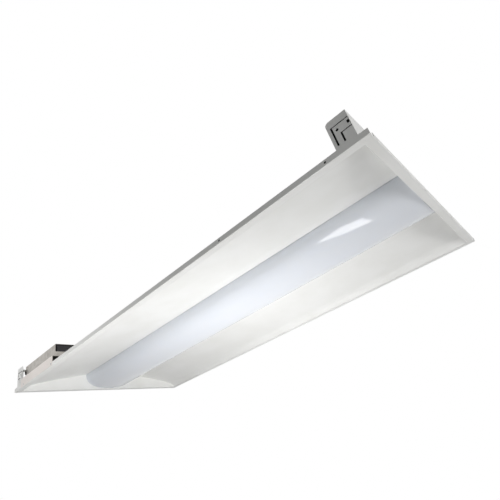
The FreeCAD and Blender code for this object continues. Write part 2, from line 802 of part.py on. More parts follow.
def boardPlugs():
    """Push-in connectors on the boards, and the short wires between them."""
    out = size("Dim.board_out")
    wide = size("Dim.plug_wide")
    long = size("Dim.plug_long")
    rise = size("Dim.plug_rise")
    low = size(BOARD_LOW) - rise
    wire = size("Dim.wire_radius")
    half_pitch = size("Dim.wire_pitch / 2")
    height = size(WIRE_RISE)
    inset = size(BOARD_START + " + Dim.plug_inset")
    edge = size("Dim.board_wide / 2")
    inner = -out - edge + wide
    plugs = []
    wires = []
    for side in (-1, 1):
        middle = side * (out + edge - wide / 2)
        for end in (-1, 1):
            corner = Vec(middle - wide / 2, end * (inset + long / 2) - long / 2, low)
            plugs.append(Part.makeBox(wide, long, rise, corner))
        corner = Vec(middle - wide / 2, size(FEED_SPOT) - long / 2, low)
        plugs.append(Part.makeBox(wide, long, rise, corner))
        for shift in (-half_pitch, half_pitch):
            wires.append(rod(Vec(middle + shift, 0, height), AXIS_Y, wire, 2 * inset))
    for along in feedPlaces():
        wires.append(rod(Vec(0, along, height), AXIS_X, wire, -2 * inner))
    keep("board_connectors", shaped("BoardPlugs", plugs))
    keep("board_jumpers", shaped("BoardJumpers", wires))


def ledLeads():
    start = driverMiddle() + size("Dim.driver_wide / 2")
    stop = size("-Dim.board_out - Dim.board_wide / 2")
    middle = (start + stop) / 2
    height = size(WIRE_RISE)
    wires = []
    for along in feedPlaces():
        wires.append(rod(Vec(middle, along, height), AXIS_X, size("Dim.wire_radius"), stop - start))
    keep("led_leads", shaped("LedLeads", wires))


# ---- driver compartment ----

def sideScrewSpots():
    inset = size("Dim.side_screw_inset")
    ends = (size(BOX_START) + inset, size(BOX_END) - inset)
    return [Vec(size("-" + SIDE), along, size("Dim.side_screw_rise")) for along in ends]


def coverScrewSpots():
    inset = 3 * size("Dim.side_screw_inset")
    ends = (size(BOX_START) + inset, size(BOX_END) - inset)
    across = -(size(SIDE_INNER) + size(BOX_OUTER)) / 2
    height = size(FLOOR_TOP + " + Dim.sheet")
    return [Vec(across, along, height) for along in ends]


def driverTray():
    floor = bentSheet(
        "DriverFloor",
        [
            ("-" + SIDE_INNER, "Dim.tray_leg_foot"),
            ("-" + SIDE_INNER, FLOOR_TOP, "2 * Dim.bend"),
            ("(-%s - Dim.sheet)" % BOX_INNER, FLOOR_TOP),
        ],
        ALONG_Y,
        "Dim.box_span",
        1,
    )
    floor.setExpression("Placement.Base.y", BOX_MIDDLE)
    lips = []
    for word, along in (("Near", BOX_START), ("Far", "%s - Dim.sheet" % BOX_END)):
        lips.append(
            plainBox(
                "DriverLip" + word,
                ("-%s + Dim.sheet" % BOX_OUTER, along, FLOOR_LOW),
                ("Dim.box_wide - 2 * Dim.sheet", "Dim.sheet", "Dim.end_lip_rise"),
            )
        )
    blank = joined("DriverTrayBlank", [floor] + lips)
    tray = drilled("DriverTraySide", blank, screwHoles("DriverSideDrill", sideScrewSpots(), AXIS_X))
    spots = coverScrewSpots() + driverScrewSpots() + [groundSpot()]
    keep("driver_tray", drilled("DriverTray", tray, screwHoles("DriverTopDrill", spots, AXIS_Z)))


def sidePlate():
    """Cream plate that closes the compartment's side, flush with the rail's lip."""
    plate = plainBox(
        "SidePlateBlank",
        ("-" + SIDE, BOX_START, "Dim.side_plate_foot"),
        ("Dim.sheet", SIDE_PLATE_SPAN, FLOOR_TOP + " - Dim.side_plate_foot"),
    )
    radius = size("Dim.screw_radius")
    reach = size("Dim.screw_reach")
    head = size("Dim.screw_radius + Dim.sheet")
    sinks = []
    screws = []
    play = size("Dim.screw_play")
    wall = size("Dim.sheet")
    for spot in sideScrewSpots():
        sinks.append(Part.makeCone(head + play, radius + play, wall, spot, AXIS_X))
        cone = Part.makeCone(head, radius, wall, spot, AXIS_X)
        screws.append(cone.fuse(Part.makeCylinder(radius, reach, spot, AXIS_X)).removeSplitter())
    keep("driver_side_plate", drilled("SidePlate", plate, shaped("SidePlateSinks", sinks)))
    keep("side_plate_screws", shaped("SidePlateScrews", screws))


def driverCover():
    top = "(%s - Dim.sheet)" % BOX_TOP
    outer = "(-%s + Dim.sheet)" % BOX_OUTER
    inner = "(-%s - Dim.sheet)" % BOX_INNER
    lid = bentSheet(
        "Cover",
        [
            ("(-%s + Dim.foot_inset)" % SIDE_INNER, FLOOR_TOP),
            (outer, FLOOR_TOP, "Dim.bend"),
            (outer, top, "Dim.bend"),
            (inner, top, "Dim.bend"),
            (inner, "(%s + Dim.sheet / 2)" % FLOOR_TOP),
        ],
        ALONG_Y,
        "Dim.box_span",
        -1,
    )
    lid.setExpression("Placement.Base.y", BOX_MIDDLE)
    end_wall = plainBox(
        "CoverEnd",
        ("-%s + Dim.sheet / 2" % BOX_OUTER, "%s - Dim.sheet" % BOX_END, END_LIP_TOP),
        ("Dim.box_wide - Dim.sheet", "Dim.sheet", "%s - %s - Dim.sheet / 2" % (BOX_TOP, END_LIP_TOP)),
    )
    blank = joined("CoverBlank", [lid, end_wall])
    cover = drilled("CoverScrewed", blank, screwHoles("CoverDrill", coverScrewSpots(), AXIS_Z))
    holes = [rod(glandSpot(), AXIS_Y, size("Dim.gland_radius + Dim.screw_play"), size("Dim.gland_reach"))]
    for along in feedPlaces():
        spot = Vec(size("-" + BOX_INNER), along, size(WIRE_RISE))
        holes.append(rod(spot, AXIS_X, size("Dim.wire_radius + Dim.screw_play"), size("Dim.gland_radius")))
    keep("driver_cover", drilled("Cover", cover, shaped("CoverOutlets", holes)))
    screwRow("cover_screws", coverScrewSpots(), Vec(0, 0, -1))


def glandSpot():
    across = size("-%s + Dim.gland_inset" % BOX_OUTER)
    return Vec(across, size(BOX_END), size(END_LIP_TOP + " + Dim.gland_radius"))


def conduitConnector():
    """Open cable connector in the cover's end wall."""
    spot = glandSpot()
    back = spot - AXIS_Y * size("Dim.sheet + Dim.gland_tail")
    reach = size("Dim.gland_reach + Dim.sheet + Dim.gland_tail")
    tube = Part.makeCylinder(size("Dim.gland_radius"), reach, back, AXIS_Y)
    collar = Part.makeCylinder(size("Dim.gland_flange"), size("Dim.gland_flange_wall"), spot, AXIS_Y)
    bore = rod(spot, AXIS_Y, size("Dim.gland_bore"), 4 * reach)
    solid = tube.fuse(collar).removeSplitter().cut(bore)
    keep("conduit_connector", shaped("ConduitConnector", [solid]))


def driverStart():
    return size(BOX_START + " + Dim.sheet + Dim.driver_setback")


def driverMiddle():
    return size("-(%s + %s) / 2" % (BOX_OUTER, BOX_INNER))


def driverScrewSpots():
    foot = size("Dim.driver_foot / 2")
    floor = size(FLOOR_TOP + " + Dim.driver_foot_wall")
    stop = driverStart() + size("Dim.driver_span") + foot
    offset = size("Dim.driver_wide / 4")
    return [Vec(driverMiddle() + side * offset, stop, floor) for side in (-1, 1)]


def groundSpot():
    along = size("%s - Dim.nut_long" % BOX_END)
    return Vec(size("-%s - Dim.ground_inset" % BOX_INNER), along, size(FLOOR_TOP))


def ledDriver():
    floor = size(FLOOR_TOP)
    wide = size("Dim.driver_wide")
    corner = Vec(driverMiddle() - wide / 2, driverStart(), floor)
    case = Part.makeBox(wide, size("Dim.driver_span"), size("Dim.driver_rise"), corner)
    top = floor + size("Dim.driver_rise")
    upper = [edge for edge in case.Edges if edge.CenterOfMass.z > top - 1]
    long_edges = [edge for edge in upper if abs(edge.tangentAt(0).y) > 0.9]
    case = case.makeFillet(size("Dim.driver_corner"), long_edges)
    foot_corner = corner + AXIS_Y * size("Dim.driver_span")
    foot = Part.makeBox(wide, size("Dim.driver_foot"), size("Dim.driver_foot_wall"), foot_corner)
    holes = [rod(spot, AXIS_Z, size("Dim.screw_radius + Dim.screw_play"), 10) for spot in driverScrewSpots()]
    solid = case.fuse(foot).removeSplitter().cut(Part.makeCompound(holes))
    keep("led_driver", shaped("LedDriver", [solid]))
    screwRow("driver_screws", driverScrewSpots(), Vec(0, 0, -1))
    screwRow("ground_screw", [groundSpot()], Vec(0, 0, -1))


def supplyLeads():
    """Push-in splices on the wiring space's floor, and the driver's two input leads."""
    floor = size(FLOOR_TOP)
    nut = [size("Dim." + word) for word in ("nut_wide", "nut_long", "nut_rise")]
    start = driverStart() + size("Dim.driver_span")
    stop = size("%s - Dim.sheet" % BOX_END) - nut[1] - size("Dim.gland_tail")
    height = floor + nut[2] / 2
    radius = size("Dim.cable_radius")
    nuts = []
    leads = []
    for side in (-1, 0):
        across = driverMiddle() + side * (nut[0] + 2 * radius) + radius
        nuts.append(Part.makeBox(nut[0], nut[1], nut[2], Vec(across - nut[0] / 2, stop, floor)))
        spot = Vec(across, (start + stop) / 2, height)
        leads.append(rod(spot, AXIS_Y, radius, stop - start))
    keep("push_in_splices", shaped("Splices", nuts))
    keep("driver_input_leads", shaped("InputLeads", leads))


def main():
    sideRails()
    endPlates()
    knockoutDisc()
    gridClips()
    sideReflectors()
    gearTray()
    lens()
    lensCatches()
    lightBoards()
    boardPlugs()
    ledLeads()
    driverTray()
    sidePlate()
    driverCover()
    conduitConnector()
    ledDriver()
    supplyLeads()
    doc.recompute()
    for item in doc.Objects:
        if "Invalid" in item.State or "Error" in item.State:
            raise RuntimeError("failed feature: %s %s" % (item.Name, item.State))
    os.makedirs("parts", exist_ok=True)
    for label, feature in nodes.items():
        shape = feature.Shape
        if shape.isNull() or not shape.isValid() or not shape.Solids:
            raise RuntimeError("bad shape: " + label)
        shape.exportStep("parts/%s.step" % label)
        print(label, len(shape.Solids), round(shape.Volume / 1000, 2), "cm3")


main()
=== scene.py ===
import json
import math

import bmesh
import bpy
from mathutils import Matrix, Vector


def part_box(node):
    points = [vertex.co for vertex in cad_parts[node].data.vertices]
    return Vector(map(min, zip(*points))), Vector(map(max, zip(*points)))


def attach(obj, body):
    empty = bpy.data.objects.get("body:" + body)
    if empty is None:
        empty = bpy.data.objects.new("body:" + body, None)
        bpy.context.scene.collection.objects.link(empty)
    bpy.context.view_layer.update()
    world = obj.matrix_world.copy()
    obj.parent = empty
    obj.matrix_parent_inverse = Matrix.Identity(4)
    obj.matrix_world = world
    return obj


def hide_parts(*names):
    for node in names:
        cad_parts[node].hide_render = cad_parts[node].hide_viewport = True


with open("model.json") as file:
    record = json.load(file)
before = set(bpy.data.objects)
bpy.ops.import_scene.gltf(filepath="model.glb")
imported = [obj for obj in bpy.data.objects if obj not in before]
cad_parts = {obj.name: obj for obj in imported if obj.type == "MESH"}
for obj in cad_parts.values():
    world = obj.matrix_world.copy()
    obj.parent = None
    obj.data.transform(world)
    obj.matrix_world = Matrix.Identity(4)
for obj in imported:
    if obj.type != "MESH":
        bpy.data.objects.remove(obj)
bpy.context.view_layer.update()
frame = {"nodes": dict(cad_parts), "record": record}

mm = 0.001
record = frame["record"]
bodyOf = {node: body for body, members in record["behaviour"]["bodies"].items() for node in members}
slotOf = {part["node"]: part["material_slot"] for part in record["subparts"]}
print("frame loaded:", len(frame["nodes"]), "nodes")


def nodesNamed(start):
    return [node for node in frame["nodes"] if node.startswith(start)]


def hexColour(code):
    # undoes the sRGB curve that hex codes are written on
    channels = [int(code[i:i + 2], 16) / 255 for i in (1, 3, 5)]
    linear = [c / 12.92 if c <= 0.04045 else ((c + 0.055) / 1.055) ** 2.4 for c in channels]
    return tuple(linear) + (1.0,)


def addNode(tree, kind, settings=None, links=None):
    # a setting is an attribute of the node or the value of one of its inputs
    node = tree.nodes.new(kind)
    for key, value in (settings or {}).items():
        if isinstance(key, str) and hasattr(node, key):
            setattr(node, key, value)
        else:
            node.inputs[key].default_value = value
    for key, socket in (links or {}).items():
        tree.links.new(socket, node.inputs[key])
    return node


def newMaterial(name):
    material = bpy.data.materials.new(name)
    material.use_nodes = True
    tree = material.node_tree
    tree.nodes.clear()
    place = addNode(tree, "ShaderNodeTexCoord").outputs["Object"]
    return material, tree, place


def closeMaterial(tree, looks, links):
    shader = addNode(tree, "ShaderNodeBsdfPrincipled", looks, links)
    addNode(tree, "ShaderNodeOutputMaterial", None, {"Surface": shader.outputs[0]})


def layFinish(tree, spec, looks, tone, wear, relief):
    # tone runs the colour between the finish's two shades, wear runs the roughness between its
    # two values, and relief is what the bump reads
    tint = addNode(tree, "ShaderNodeMix", {
        "data_type": "RGBA", 6: hexColour(spec["dark"]), 7: hexColour(spec["pale"])}, {0: tone})
    gloss = addNode(tree, "ShaderNodeMapRange", {
        "To Min": spec["rough"][0], "To Max": spec["rough"][1]}, {"Value": wear})
    bump = addNode(tree, "ShaderNodeBump", {"Distance": spec["deep"]}, relief)
    closeMaterial(tree, looks, {
        "Base Color": tint.outputs[2], "Roughness": gloss.outputs[0], "Normal": bump.outputs[0]})


def powderCoat(name, spec):
    # polyester powder baked on steel: a soft sheen, a faint cloudiness and a fine orange peel
    material, tree, place = newMaterial(name)
    shares = []
    for word, detail in (("cloud", 3), ("smudge", 4)):
        size, low, high = spec[word]
        noise = addNode(tree, "ShaderNodeTexNoise", {"Scale": 1 / size, "Detail": detail},
                        {"Vector": place})
        share = addNode(tree, "ShaderNodeMapRange", {"From Min": low, "From Max": high},
                        {"Value": noise.outputs[0]})
        shares.append(share.outputs[0])
    peel = addNode(tree, "ShaderNodeTexNoise", {"Scale": 1 / spec["peel"], "Detail": 1},
                   {"Vector": place})
    layFinish(tree, spec, {"IOR": 1.5}, shares[0], shares[1], {"Height": peel.outputs[0]})
    return material


def galvanisedSheet(name, spec):
    # hot-dip zinc on bare steel: grey crystals a centimetre across, each with its own dull glint
    material, tree, place = newMaterial(name)
    crystal = addNode(tree, "ShaderNodeTexVoronoi", {"Scale": 1 / spec["spangle"]},
                      {"Vector": place}).outputs["Color"]
    # each crystal leans a little its own way
    centred = addNode(tree, "ShaderNodeVectorMath", {"operation": "SUBTRACT", 1: (0.5, 0.5, 0.5)},
                      {0: crystal})
    lean = addNode(tree, "ShaderNodeVectorMath", {"operation": "SCALE", "Scale": spec["lean"]},
                   {0: centred.outputs[0]})
    surface = addNode(tree, "ShaderNodeNewGeometry").outputs["Normal"]
    leaning = addNode(tree, "ShaderNodeVectorMath", {"operation": "ADD"},
                      {0: surface, 1: lean.outputs[0]})
    facing = addNode(tree, "ShaderNodeVectorMath", {"operation": "NORMALIZE"},
                     {0: leaning.outputs[0]})
    grain = addNode(tree, "ShaderNodeTexNoise", {"Scale": 1 / spec["grain"], "Detail": 4},
                    {"Vector": place})
    layFinish(tree, spec, {"Metallic": 1.0}, crystal, crystal,
              {"Height": grain.outputs[0], "Normal": facing.outputs[0]})
    return material


def opalAcrylic(name, spec):
    # extruded opal acrylic, left glossy: milky blue-white with sharp reflections
    material, tree, place = newMaterial(name)
    cloud = addNode(tree, "ShaderNodeTexNoise", {"Scale": 1 / spec["cloud"], "Detail": 2},
                    {"Vector": place}).outputs[0]
    # the die leaves faint lines along the length, so the noise is drawn out along Y
    along = addNode(tree, "ShaderNodeMapping", {"Scale": spec["stretch"]}, {"Vector": place})
    lines = addNode(tree, "ShaderNodeTexNoise", {"Scale": 1 / spec["dieLine"]},
                    {"Vector": along.outputs[0]})
    looks = {"IOR": 1.49, "Subsurface Weight": spec["milk"], "Subsurface Scale": spec["milkDeep"],
             "Subsurface Radius": spec["milkSpread"]}
    layFinish(tree, spec, looks, cloud, cloud, {"Height": lines.outputs[0]})
    return material


def bareMetal(name, spec):
    # plated, drawn, rolled or cast metal: a fine grain stretched the way the piece was worked
    material, tree, place = newMaterial(name)
    worked = addNode(tree, "ShaderNodeMapping", {"Scale": spec["stretch"]}, {"Vector": place})
    grain = addNode(tree, "ShaderNodeTexNoise", {"Scale": 1 / spec["grain"], "Detail": 3},
                    {"Vector": worked.outputs[0]}).outputs[0]
    layFinish(tree, spec, {"Metallic": 1.0}, grain, grain, {"Height": grain})
    return material


def mouldedPlastic(name, spec):
    # moulded or extruded plastic: even colour, with the fine spark-eroded texture of its tool
    material, tree, place = newMaterial(name)
    grain = addNode(tree, "ShaderNodeTexNoise", {"Scale": 1 / spec["grain"], "Detail": 2},
                    {"Vector": place}).outputs[0]
    looks = {"IOR": spec["ior"], "Transmission Weight": spec["clear"]}
    layFinish(tree, spec, looks, grain, grain, {"Height": grain})
    return material


def solderMask(name, spec):
    # white solder mask over copper: the tracks show through as faint bands along the board
    material, tree, place = newMaterial(name)
    # the wave texture repeats every pi / 10 at a scale of 1
    bands = addNode(tree, "ShaderNodeTexWave", {
        "bands_direction": "X", "Scale": math.pi / 10 / spec["track"]}, {"Vector": place})
    low, high = spec["trackEdge"]
    track = addNode(tree, "ShaderNodeMapRange", {"From Min": low, "From Max": high},
                    {"Value": bands.outputs["Fac"]}).outputs[0]
    grain = addNode(tree, "ShaderNodeTexNoise", {"Scale": 1 / spec["grain"], "Detail": 2},
                    {"Vector": place})
    layFinish(tree, spec, {"IOR": 1.5}, track, grain.outputs[0], {"Height": track})
    return material


def closedCellFoam(name, spec):
    # black closed-cell foam, used as painted shade: dead matt, with pores that are drawn at 1.5 mm,
    # twice the real ones
    material, tree, place = newMaterial(name)
    pores = addNode(tree, "ShaderNodeTexVoronoi", {"Scale": 1 / spec["pore"]},
                    {"Vector": place}).outputs["Distance"]
    looks = {"IOR": 1.45, "Specular IOR Level": 0.2}
    layFinish(tree, spec, looks, pores, pores, {"Height": pores})
    return material


# rough is the least and the most roughness, and deep is the bump's height
# a powder coat's cloud and smudge are a size and the part of the noise's range that is used
# real orange peel is 1 to 2 mm across; it is drawn at 4 mm, so that a close view still shows it
whiteCoat = {"pale": "#F4F4F2", "dark": "#EFEFEC", "rough": (0.37, 0.47), "deep": 0.02 * mm,
             "cloud": (90 * mm, 0.35, 0.65), "smudge": (35 * mm, 0.3, 0.7), "peel": 4 * mm}
creamCoat = dict(whiteCoat, pale="#F0E9E4", dark="#EAE3DD", rough=(0.4, 0.5))
blackEnamel = dict(whiteCoat, pale="#201F22", dark="#18171A", rough=(0.3, 0.4), peel=2 * mm)
bareZinc = {"pale": "#BFBBB5", "dark": "#A09C96", "rough": (0.28, 0.46), "deep": 0.02 * mm,
            "spangle": 9 * mm, "lean": 0.14, "grain": 2 * mm}
lensAcrylic = {"pale": "#E9EDF4", "dark": "#E1E6EF", "rough": (0.01, 0.03), "deep": 0.01 * mm,
               "cloud": 150 * mm, "milk": 0.2, "milkDeep": 4 * mm, "milkSpread": (1.0, 1.1, 1.3),
               "dieLine": 6 * mm, "stretch": (1, 0.02, 1)}
brightZinc = {"pale": "#D2D4D6", "dark": "#B0B2B5", "rough": (0.2, 0.36), "deep": 0.01 * mm,
              "grain": 1 * mm, "stretch": (1, 1, 1)}
springStrip = dict(brightZinc, pale="#BEC1C4", dark="#9FA2A5", rough=(0.22, 0.38),
                   stretch=(1, 0.1, 1))
drawnAluminium = dict(brightZinc, pale="#D6D8D9", dark="#BDBFC1", rough=(0.27, 0.43))
greenZinc = dict(brightZinc, pale="#3B8A4F", dark="#256B38", rough=(0.27, 0.43))
castZinc = dict(brightZinc, pale="#9A9289", dark="#736C64", rough=(0.42, 0.58), deep=0.06 * mm,
                grain=1.5 * mm)
naturalNylon = {"pale": "#EAE6DA", "dark": "#DED9CC", "rough": (0.4, 0.5), "deep": 0.01 * mm,
                "grain": 0.8 * mm, "ior": 1.53, "clear": 0.0}
redVinyl = dict(naturalNylon, pale="#BE231C", dark="#A81B15", rough=(0.3, 0.4))
blackVinyl = dict(naturalNylon, pale="#1F1F20", dark="#151516", rough=(0.3, 0.4))
amberClear = dict(naturalNylon, pale="#F0A040", dark="#E69030", rough=(0.05, 0.15), ior=1.58,
                  clear=0.6)
ledHousing = dict(naturalNylon, pale="#F2F1EC", dark="#E8E7E1", rough=(0.35, 0.45), ior=1.5)
ledPhosphor = dict(naturalNylon, pale="#F2DB62", dark="#E6C640", rough=(0.2, 0.3),
                   grain=0.2 * mm, ior=1.45)
whiteBoard = {"pale": "#F3F4F1", "dark": "#E4E7E1", "rough": (0.3, 0.42), "deep": 0.035 * mm,
              "track": 6.5 * mm, "trackEdge": (0.42, 0.58), "grain": 0.5 * mm}
blackShadeFoam = {"pale": "#1C1C1D", "dark": "#0D0D0E", "rough": (0.9, 1.0), "deep": 0.3 * mm,
             "pore": 1.5 * mm}

finishes = {
    "white_steel": powderCoat("powderCoatWhite", whiteCoat),  # neutral white, soft sheen
    "cream_steel": powderCoat("powderCoatCream", creamCoat),  # a warmer, duller white
    "driver_black": powderCoat("enamelBlack", blackEnamel),  # near black with a satin gleam
    "galvanised_steel": galvanisedSheet("hotDipGalvanised", bareZinc),  # patchy grey glints
    "lens_acrylic": opalAcrylic("opalAcrylic", lensAcrylic),  # milky, with mirror highlights
    "zinc_steel": bareMetal("brightZincPlate", brightZinc),  # bright, faintly blue silver
    "spring_steel": bareMetal("rolledSpringStrip", springStrip),  # darker, streaked along Y
    "rivet_aluminium": bareMetal("drawnAluminium", drawnAluminium),  # pale and soft
    "green_steel": bareMetal("greenZincPlate", greenZinc),  # green over a metal gleam
    "cast_zinc": bareMetal("dieCastZinc", castZinc),  # brownish grey, dull and pitted
    "connector_nylon": mouldedPlastic("mouldedNylon", naturalNylon),  # cream and waxy
    "wire_red": mouldedPlastic("vinylRed", redVinyl),  # smooth, even red
    "wire_black": mouldedPlastic("vinylBlack", blackVinyl),  # smooth, even black
    "splice_amber": mouldedPlastic("polycarbonateAmber", amberClear),  # clear and glossy
    "led_package": mouldedPlastic("ledHousingWhite", ledHousing),  # plain matt white
    "phosphor": mouldedPlastic("phosphorSilicone", ledPhosphor),  # yellow, slightly glossy
    "board_laminate": solderMask("solderMaskWhite", whiteBoard),  # white, faintly banded
    # the foam is painted shade: dark pads set behind the clips' slits and the rails' holes
    "foam": closedCellFoam("closedCellFoam", blackShadeFoam),  # dead black
}
print("materials made:", len(finishes))

# how near two corners merge, how flat two faces join, and from what angle an edge is eased or
# shaded as sharp
meshCare = {"seam": 0.0001 * mm, "weld": 0.002 * mm, "flat": math.radians(0.5),
            "easeFrom": math.radians(40), "easeSegments": 2, "sharpFrom": math.radians(50),
            "copySharpFrom": math.radians(40)}


def newThing(name, data=None):
    thing = bpy.data.objects.new(name, data or bpy.data.meshes.new(name))
    bpy.context.scene.collection.objects.link(thing)
    return thing


def plainMesh(thing):
    # bakes the modifiers in and leaves a plain mesh
    graph = bpy.context.evaluated_depsgraph_get()
    mesh = bpy.data.meshes.new_from_object(thing.evaluated_get(graph))
    thing.modifiers.clear()
    thing.data = mesh
    return thing


def meshFrom(name, bm):
    mesh = bpy.data.meshes.new(name)
    bm.to_mesh(mesh)
    bm.free()
    return mesh


def fromBmesh(name, bm):
    bmesh.ops.remove_doubles(bm, verts=bm.verts, dist=meshCare["seam"])
    bmesh.ops.recalc_face_normals(bm, faces=bm.faces)
    return newThing(name, meshFrom(name, bm))


def shadeSmooth(thing, sharpFrom):
    thing.data.shade_smooth()
    thing.data.set_sharp_from_angle(angle=sharpFrom)


def easeEdges(thing, width):
    # rounds sheared and moulded edges, so that they catch the light, and keeps flat faces flat
    if width:
        ease = thing.modifiers.new("ease", "BEVEL")
        ease.width = width
        ease.segments = meshCare["easeSegments"]
        ease.limit_method = "ANGLE"
        ease.angle_limit = meshCare["easeFrom"]
    plainMesh(thing)
    shadeSmooth(thing, meshCare["sharpFrom"])
    even = thing.modifiers.new("even", "WEIGHTED_NORMAL")
    even.keep_sharp = True
    return plainMesh(thing)


def putOn(thing, node, finish=None, extra=False):
    # the piece takes the node's body and slot, and stands for it unless it is extra detail
    if not thing.data.materials:
        thing.data.materials.append(finish or finishes[slotOf[node]])
    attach(thing, bodyOf[node])
    if not extra:
        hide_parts(node)


def mergedCopy(node):
    bm = bmesh.new()
    bm.from_mesh(frame["nodes"][node].data)
    bmesh.ops.remove_doubles(bm, verts=bm.verts, dist=meshCare["weld"])
    bmesh.ops.dissolve_limit(bm, angle_limit=meshCare["flat"], verts=bm.verts, edges=bm.edges)
    return bm


def pieceName(words):
    return words[0] + "".join(word.title() for word in words[1:])


def putEased(node, width):
    # the node's own shape with its edges eased
    name = pieceName(node.split("_"))
    putOn(easeEdges(newThing(name, meshFrom(name, mergedCopy(node))), width), node)


def islands(node):
    # lowest and highest corners of each separate solid in a node, in order along the fixture
    bm = mergedCopy(node)
    unseen = set(bm.verts)
    boxes = []
    while unseen:
        waiting = [unseen.pop()]
        spots = []
        while waiting:
            vert = waiting.pop()
            spots.append(vert.co.copy())
            near = {edge.other_vert(vert) for edge in vert.link_edges} & unseen
            unseen -= near
            waiting.extend(near)
        boxes.append([Vector([pick(axis) for axis in zip(*spots)]) for pick in (min, max)])
    bm.free()
    return sorted(boxes, key=lambda box: (round(box[0].y, 4), box[0].x))


def centresAndHalf(node):
    # the middle of each solid, and half the size of the first, for nodes whose solids are alike
    boxes = islands(node)
    return [(low + high) / 2 for low, high in boxes], (boxes[0][1] - boxes[0][0]) / 2


def boxThing(name, corner, opposite, edge=0.0, segments=2):
    bm = bmesh.new()
    bmesh.ops.create_cube(bm, size=1)
    middle = (corner + opposite) / 2
    size = [abs(side) for side in opposite - corner]
    for vert in bm.verts:
        vert.co = Vector([m + c * s for m, c, s in zip(middle, vert.co, size)])
    if edge:
        bmesh.ops.bevel(bm, geom=bm.edges[:], offset=edge, segments=segments, affect="EDGES",
                        profile=0.5)
    return fromBmesh(name, bm)


def turnedThing(name, rings, sides=32, arms=4, armShare=0.34, bored=False):
    # stacks rings along Z, in millimetres: each is a height and a radius, or a height, the radius
    # at the arms and the radius between them; a bored one joins its last ring to its first
    bm = bmesh.new()
    rows = []
    for height, radius, *between in rings:
        row = []
        for index in range(sides):
            inArm = (index * arms / sides + armShare / 2) % 1 < armShare
            reach = (between[0] if between and not inArm else radius) * mm
            turn = 2 * math.pi * index / sides
            row.append(bm.verts.new((reach * math.cos(turn), reach * math.sin(turn), height * mm)))
        rows.append(row)
    pairs = list(zip(rows, rows[1:])) + ([(rows[-1], rows[0])] if bored else [])
    for first, second in pairs:
        for index in range(sides):
            after = (index + 1) % sides
            bm.faces.new((first[index], first[after], second[after], second[index]))
    if not bored:
        bm.faces.new(rows[0])
        bm.faces.new(rows[-1])
    return fromBmesh(name, bm)


def threadRings(start, turns, pitch, first, second):
    # a thread drawn as stacked rings, two to each turn
    rings = []
    for turn in range(turns):
        rings += [(start + turn * pitch, first), (start + (turn + 0.5) * pitch, second)]
    return rings


def discard(things):
    for thing in things:
        bpy.data.objects.remove(thing)


def joinThings(name, things):
    bm = bmesh.new()
    for thing in things:
        bm.from_mesh(thing.data)
    mesh = meshFrom(name, bm)
    for material in things[0].data.materials:
        mesh.materials.append(material)
    discard(things)
    return newThing(name, mesh)


def carve(thing, cutters):
    for cutter in cutters:
        cut = thing.modifiers.new("cut", "BOOLEAN")
        cut.object = cutter
        cut.solver = "EXACT"
    plainMesh(thing)
    discard(cutters)
    return thing


def moved(thing, matrix):
    thing.data.transform(matrix)
    return thing


def entryCutter(spot, radius, deep, sides):
    # a round bar along Y, in millimetres, that cuts the entry for a wire
    bar = turnedThing("entry", [(-deep, radius), (deep, radius)], sides)
    return moved(bar, Matrix.Translation(spot) @ Matrix.Rotation(math.pi / 2, 4, "X"))


def newTree(name, sockets):
    tree = bpy.data.node_groups.new(name, "GeometryNodeTree")
    tree.interface.new_socket("Geometry", in_out="OUTPUT", socket_type="NodeSocketGeometry")
    for word, kind in sockets.items():
        tree.interface.new_socket(word, in_out="INPUT", socket_type="NodeSocket" + kind)
    return tree, addNode(tree, "NodeGroupInput").outputs


def closeTree(tree, geometry, finish):
    real = addNode(tree, "GeometryNodeRealizeInstances", None, {"Geometry": geometry})
    painted = addNode(tree, "GeometryNodeSetMaterial", None,
                      {"Geometry": real.outputs[0], "Material": finish})
    addNode(tree, "NodeGroupOutput", None, {0: painted.outputs[0]})
    return tree


def copiesTree():
    # one copy of a piece on each point, facing one way and each turned by chance about its own axis
    tree, given = newTree("copiesOnPoints", {
        "Geometry": "Geometry", "Piece": "Object", "Facing": "Vector", "Size": "Float",
        "Spin": "Float", "Seed": "Int", "Finish": "Material"})
    piece = addNode(tree, "GeometryNodeObjectInfo", None, {"Object": given["Piece"]})
    chance = addNode(tree, "FunctionNodeRandomValue", {"data_type": "FLOAT"},
                     {3: given["Spin"], "Seed": given["Seed"]})
    turn = addNode(tree, "ShaderNodeCombineXYZ", None, {"Z": chance.outputs[1]})
    copies = addNode(tree, "GeometryNodeInstanceOnPoints", None, {
        "Points": given["Geometry"], "Instance": piece.outputs["Geometry"],
        "Rotation": given["Facing"], "Scale": given["Size"]})
    turned = addNode(tree, "GeometryNodeRotateInstances", None, {
        "Instances": copies.outputs[0], "Rotation": turn.outputs[0]})
    return closeTree(tree, turned.outputs[0], given["Finish"])


def rowTree():
    # copies of a piece in a straight row at one pitch
    tree, given = newTree("copiesInRow", {
        "Piece": "Object", "Count": "Int", "Start": "Vector", "Pitch": "Float",
        "Finish": "Material"})
    piece = addNode(tree, "GeometryNodeObjectInfo", None, {"Object": given["Piece"]})
    step = addNode(tree, "ShaderNodeCombineXYZ", None, {"Y": given["Pitch"]})
    line = addNode(tree, "GeometryNodeMeshLine", None, {
        "Count": given["Count"], "Start Location": given["Start"], "Offset": step.outputs[0]})
    copies = addNode(tree, "GeometryNodeInstanceOnPoints", None, {
        "Points": line.outputs[0], "Instance": piece.outputs["Geometry"]})
    return closeTree(tree, copies.outputs[0], given["Finish"])


def grown(name, tree, values, points=()):
    # runs a tree on an object that holds only its points
    thing = newThing(name)
    thing.data.from_pydata(points, [], [])
    modifier = thing.modifiers.new("grow", "NODES")
    modifier.node_group = tree
    for item in tree.interface.items_tree:
        if item.in_out == "INPUT" and item.name in values:
            modifier[item.identifier] = values[item.name]
    return plainMesh(thing)


copiesOnPoints = copiesTree()
copiesInRow = rowTree()
chanceSeed = 7


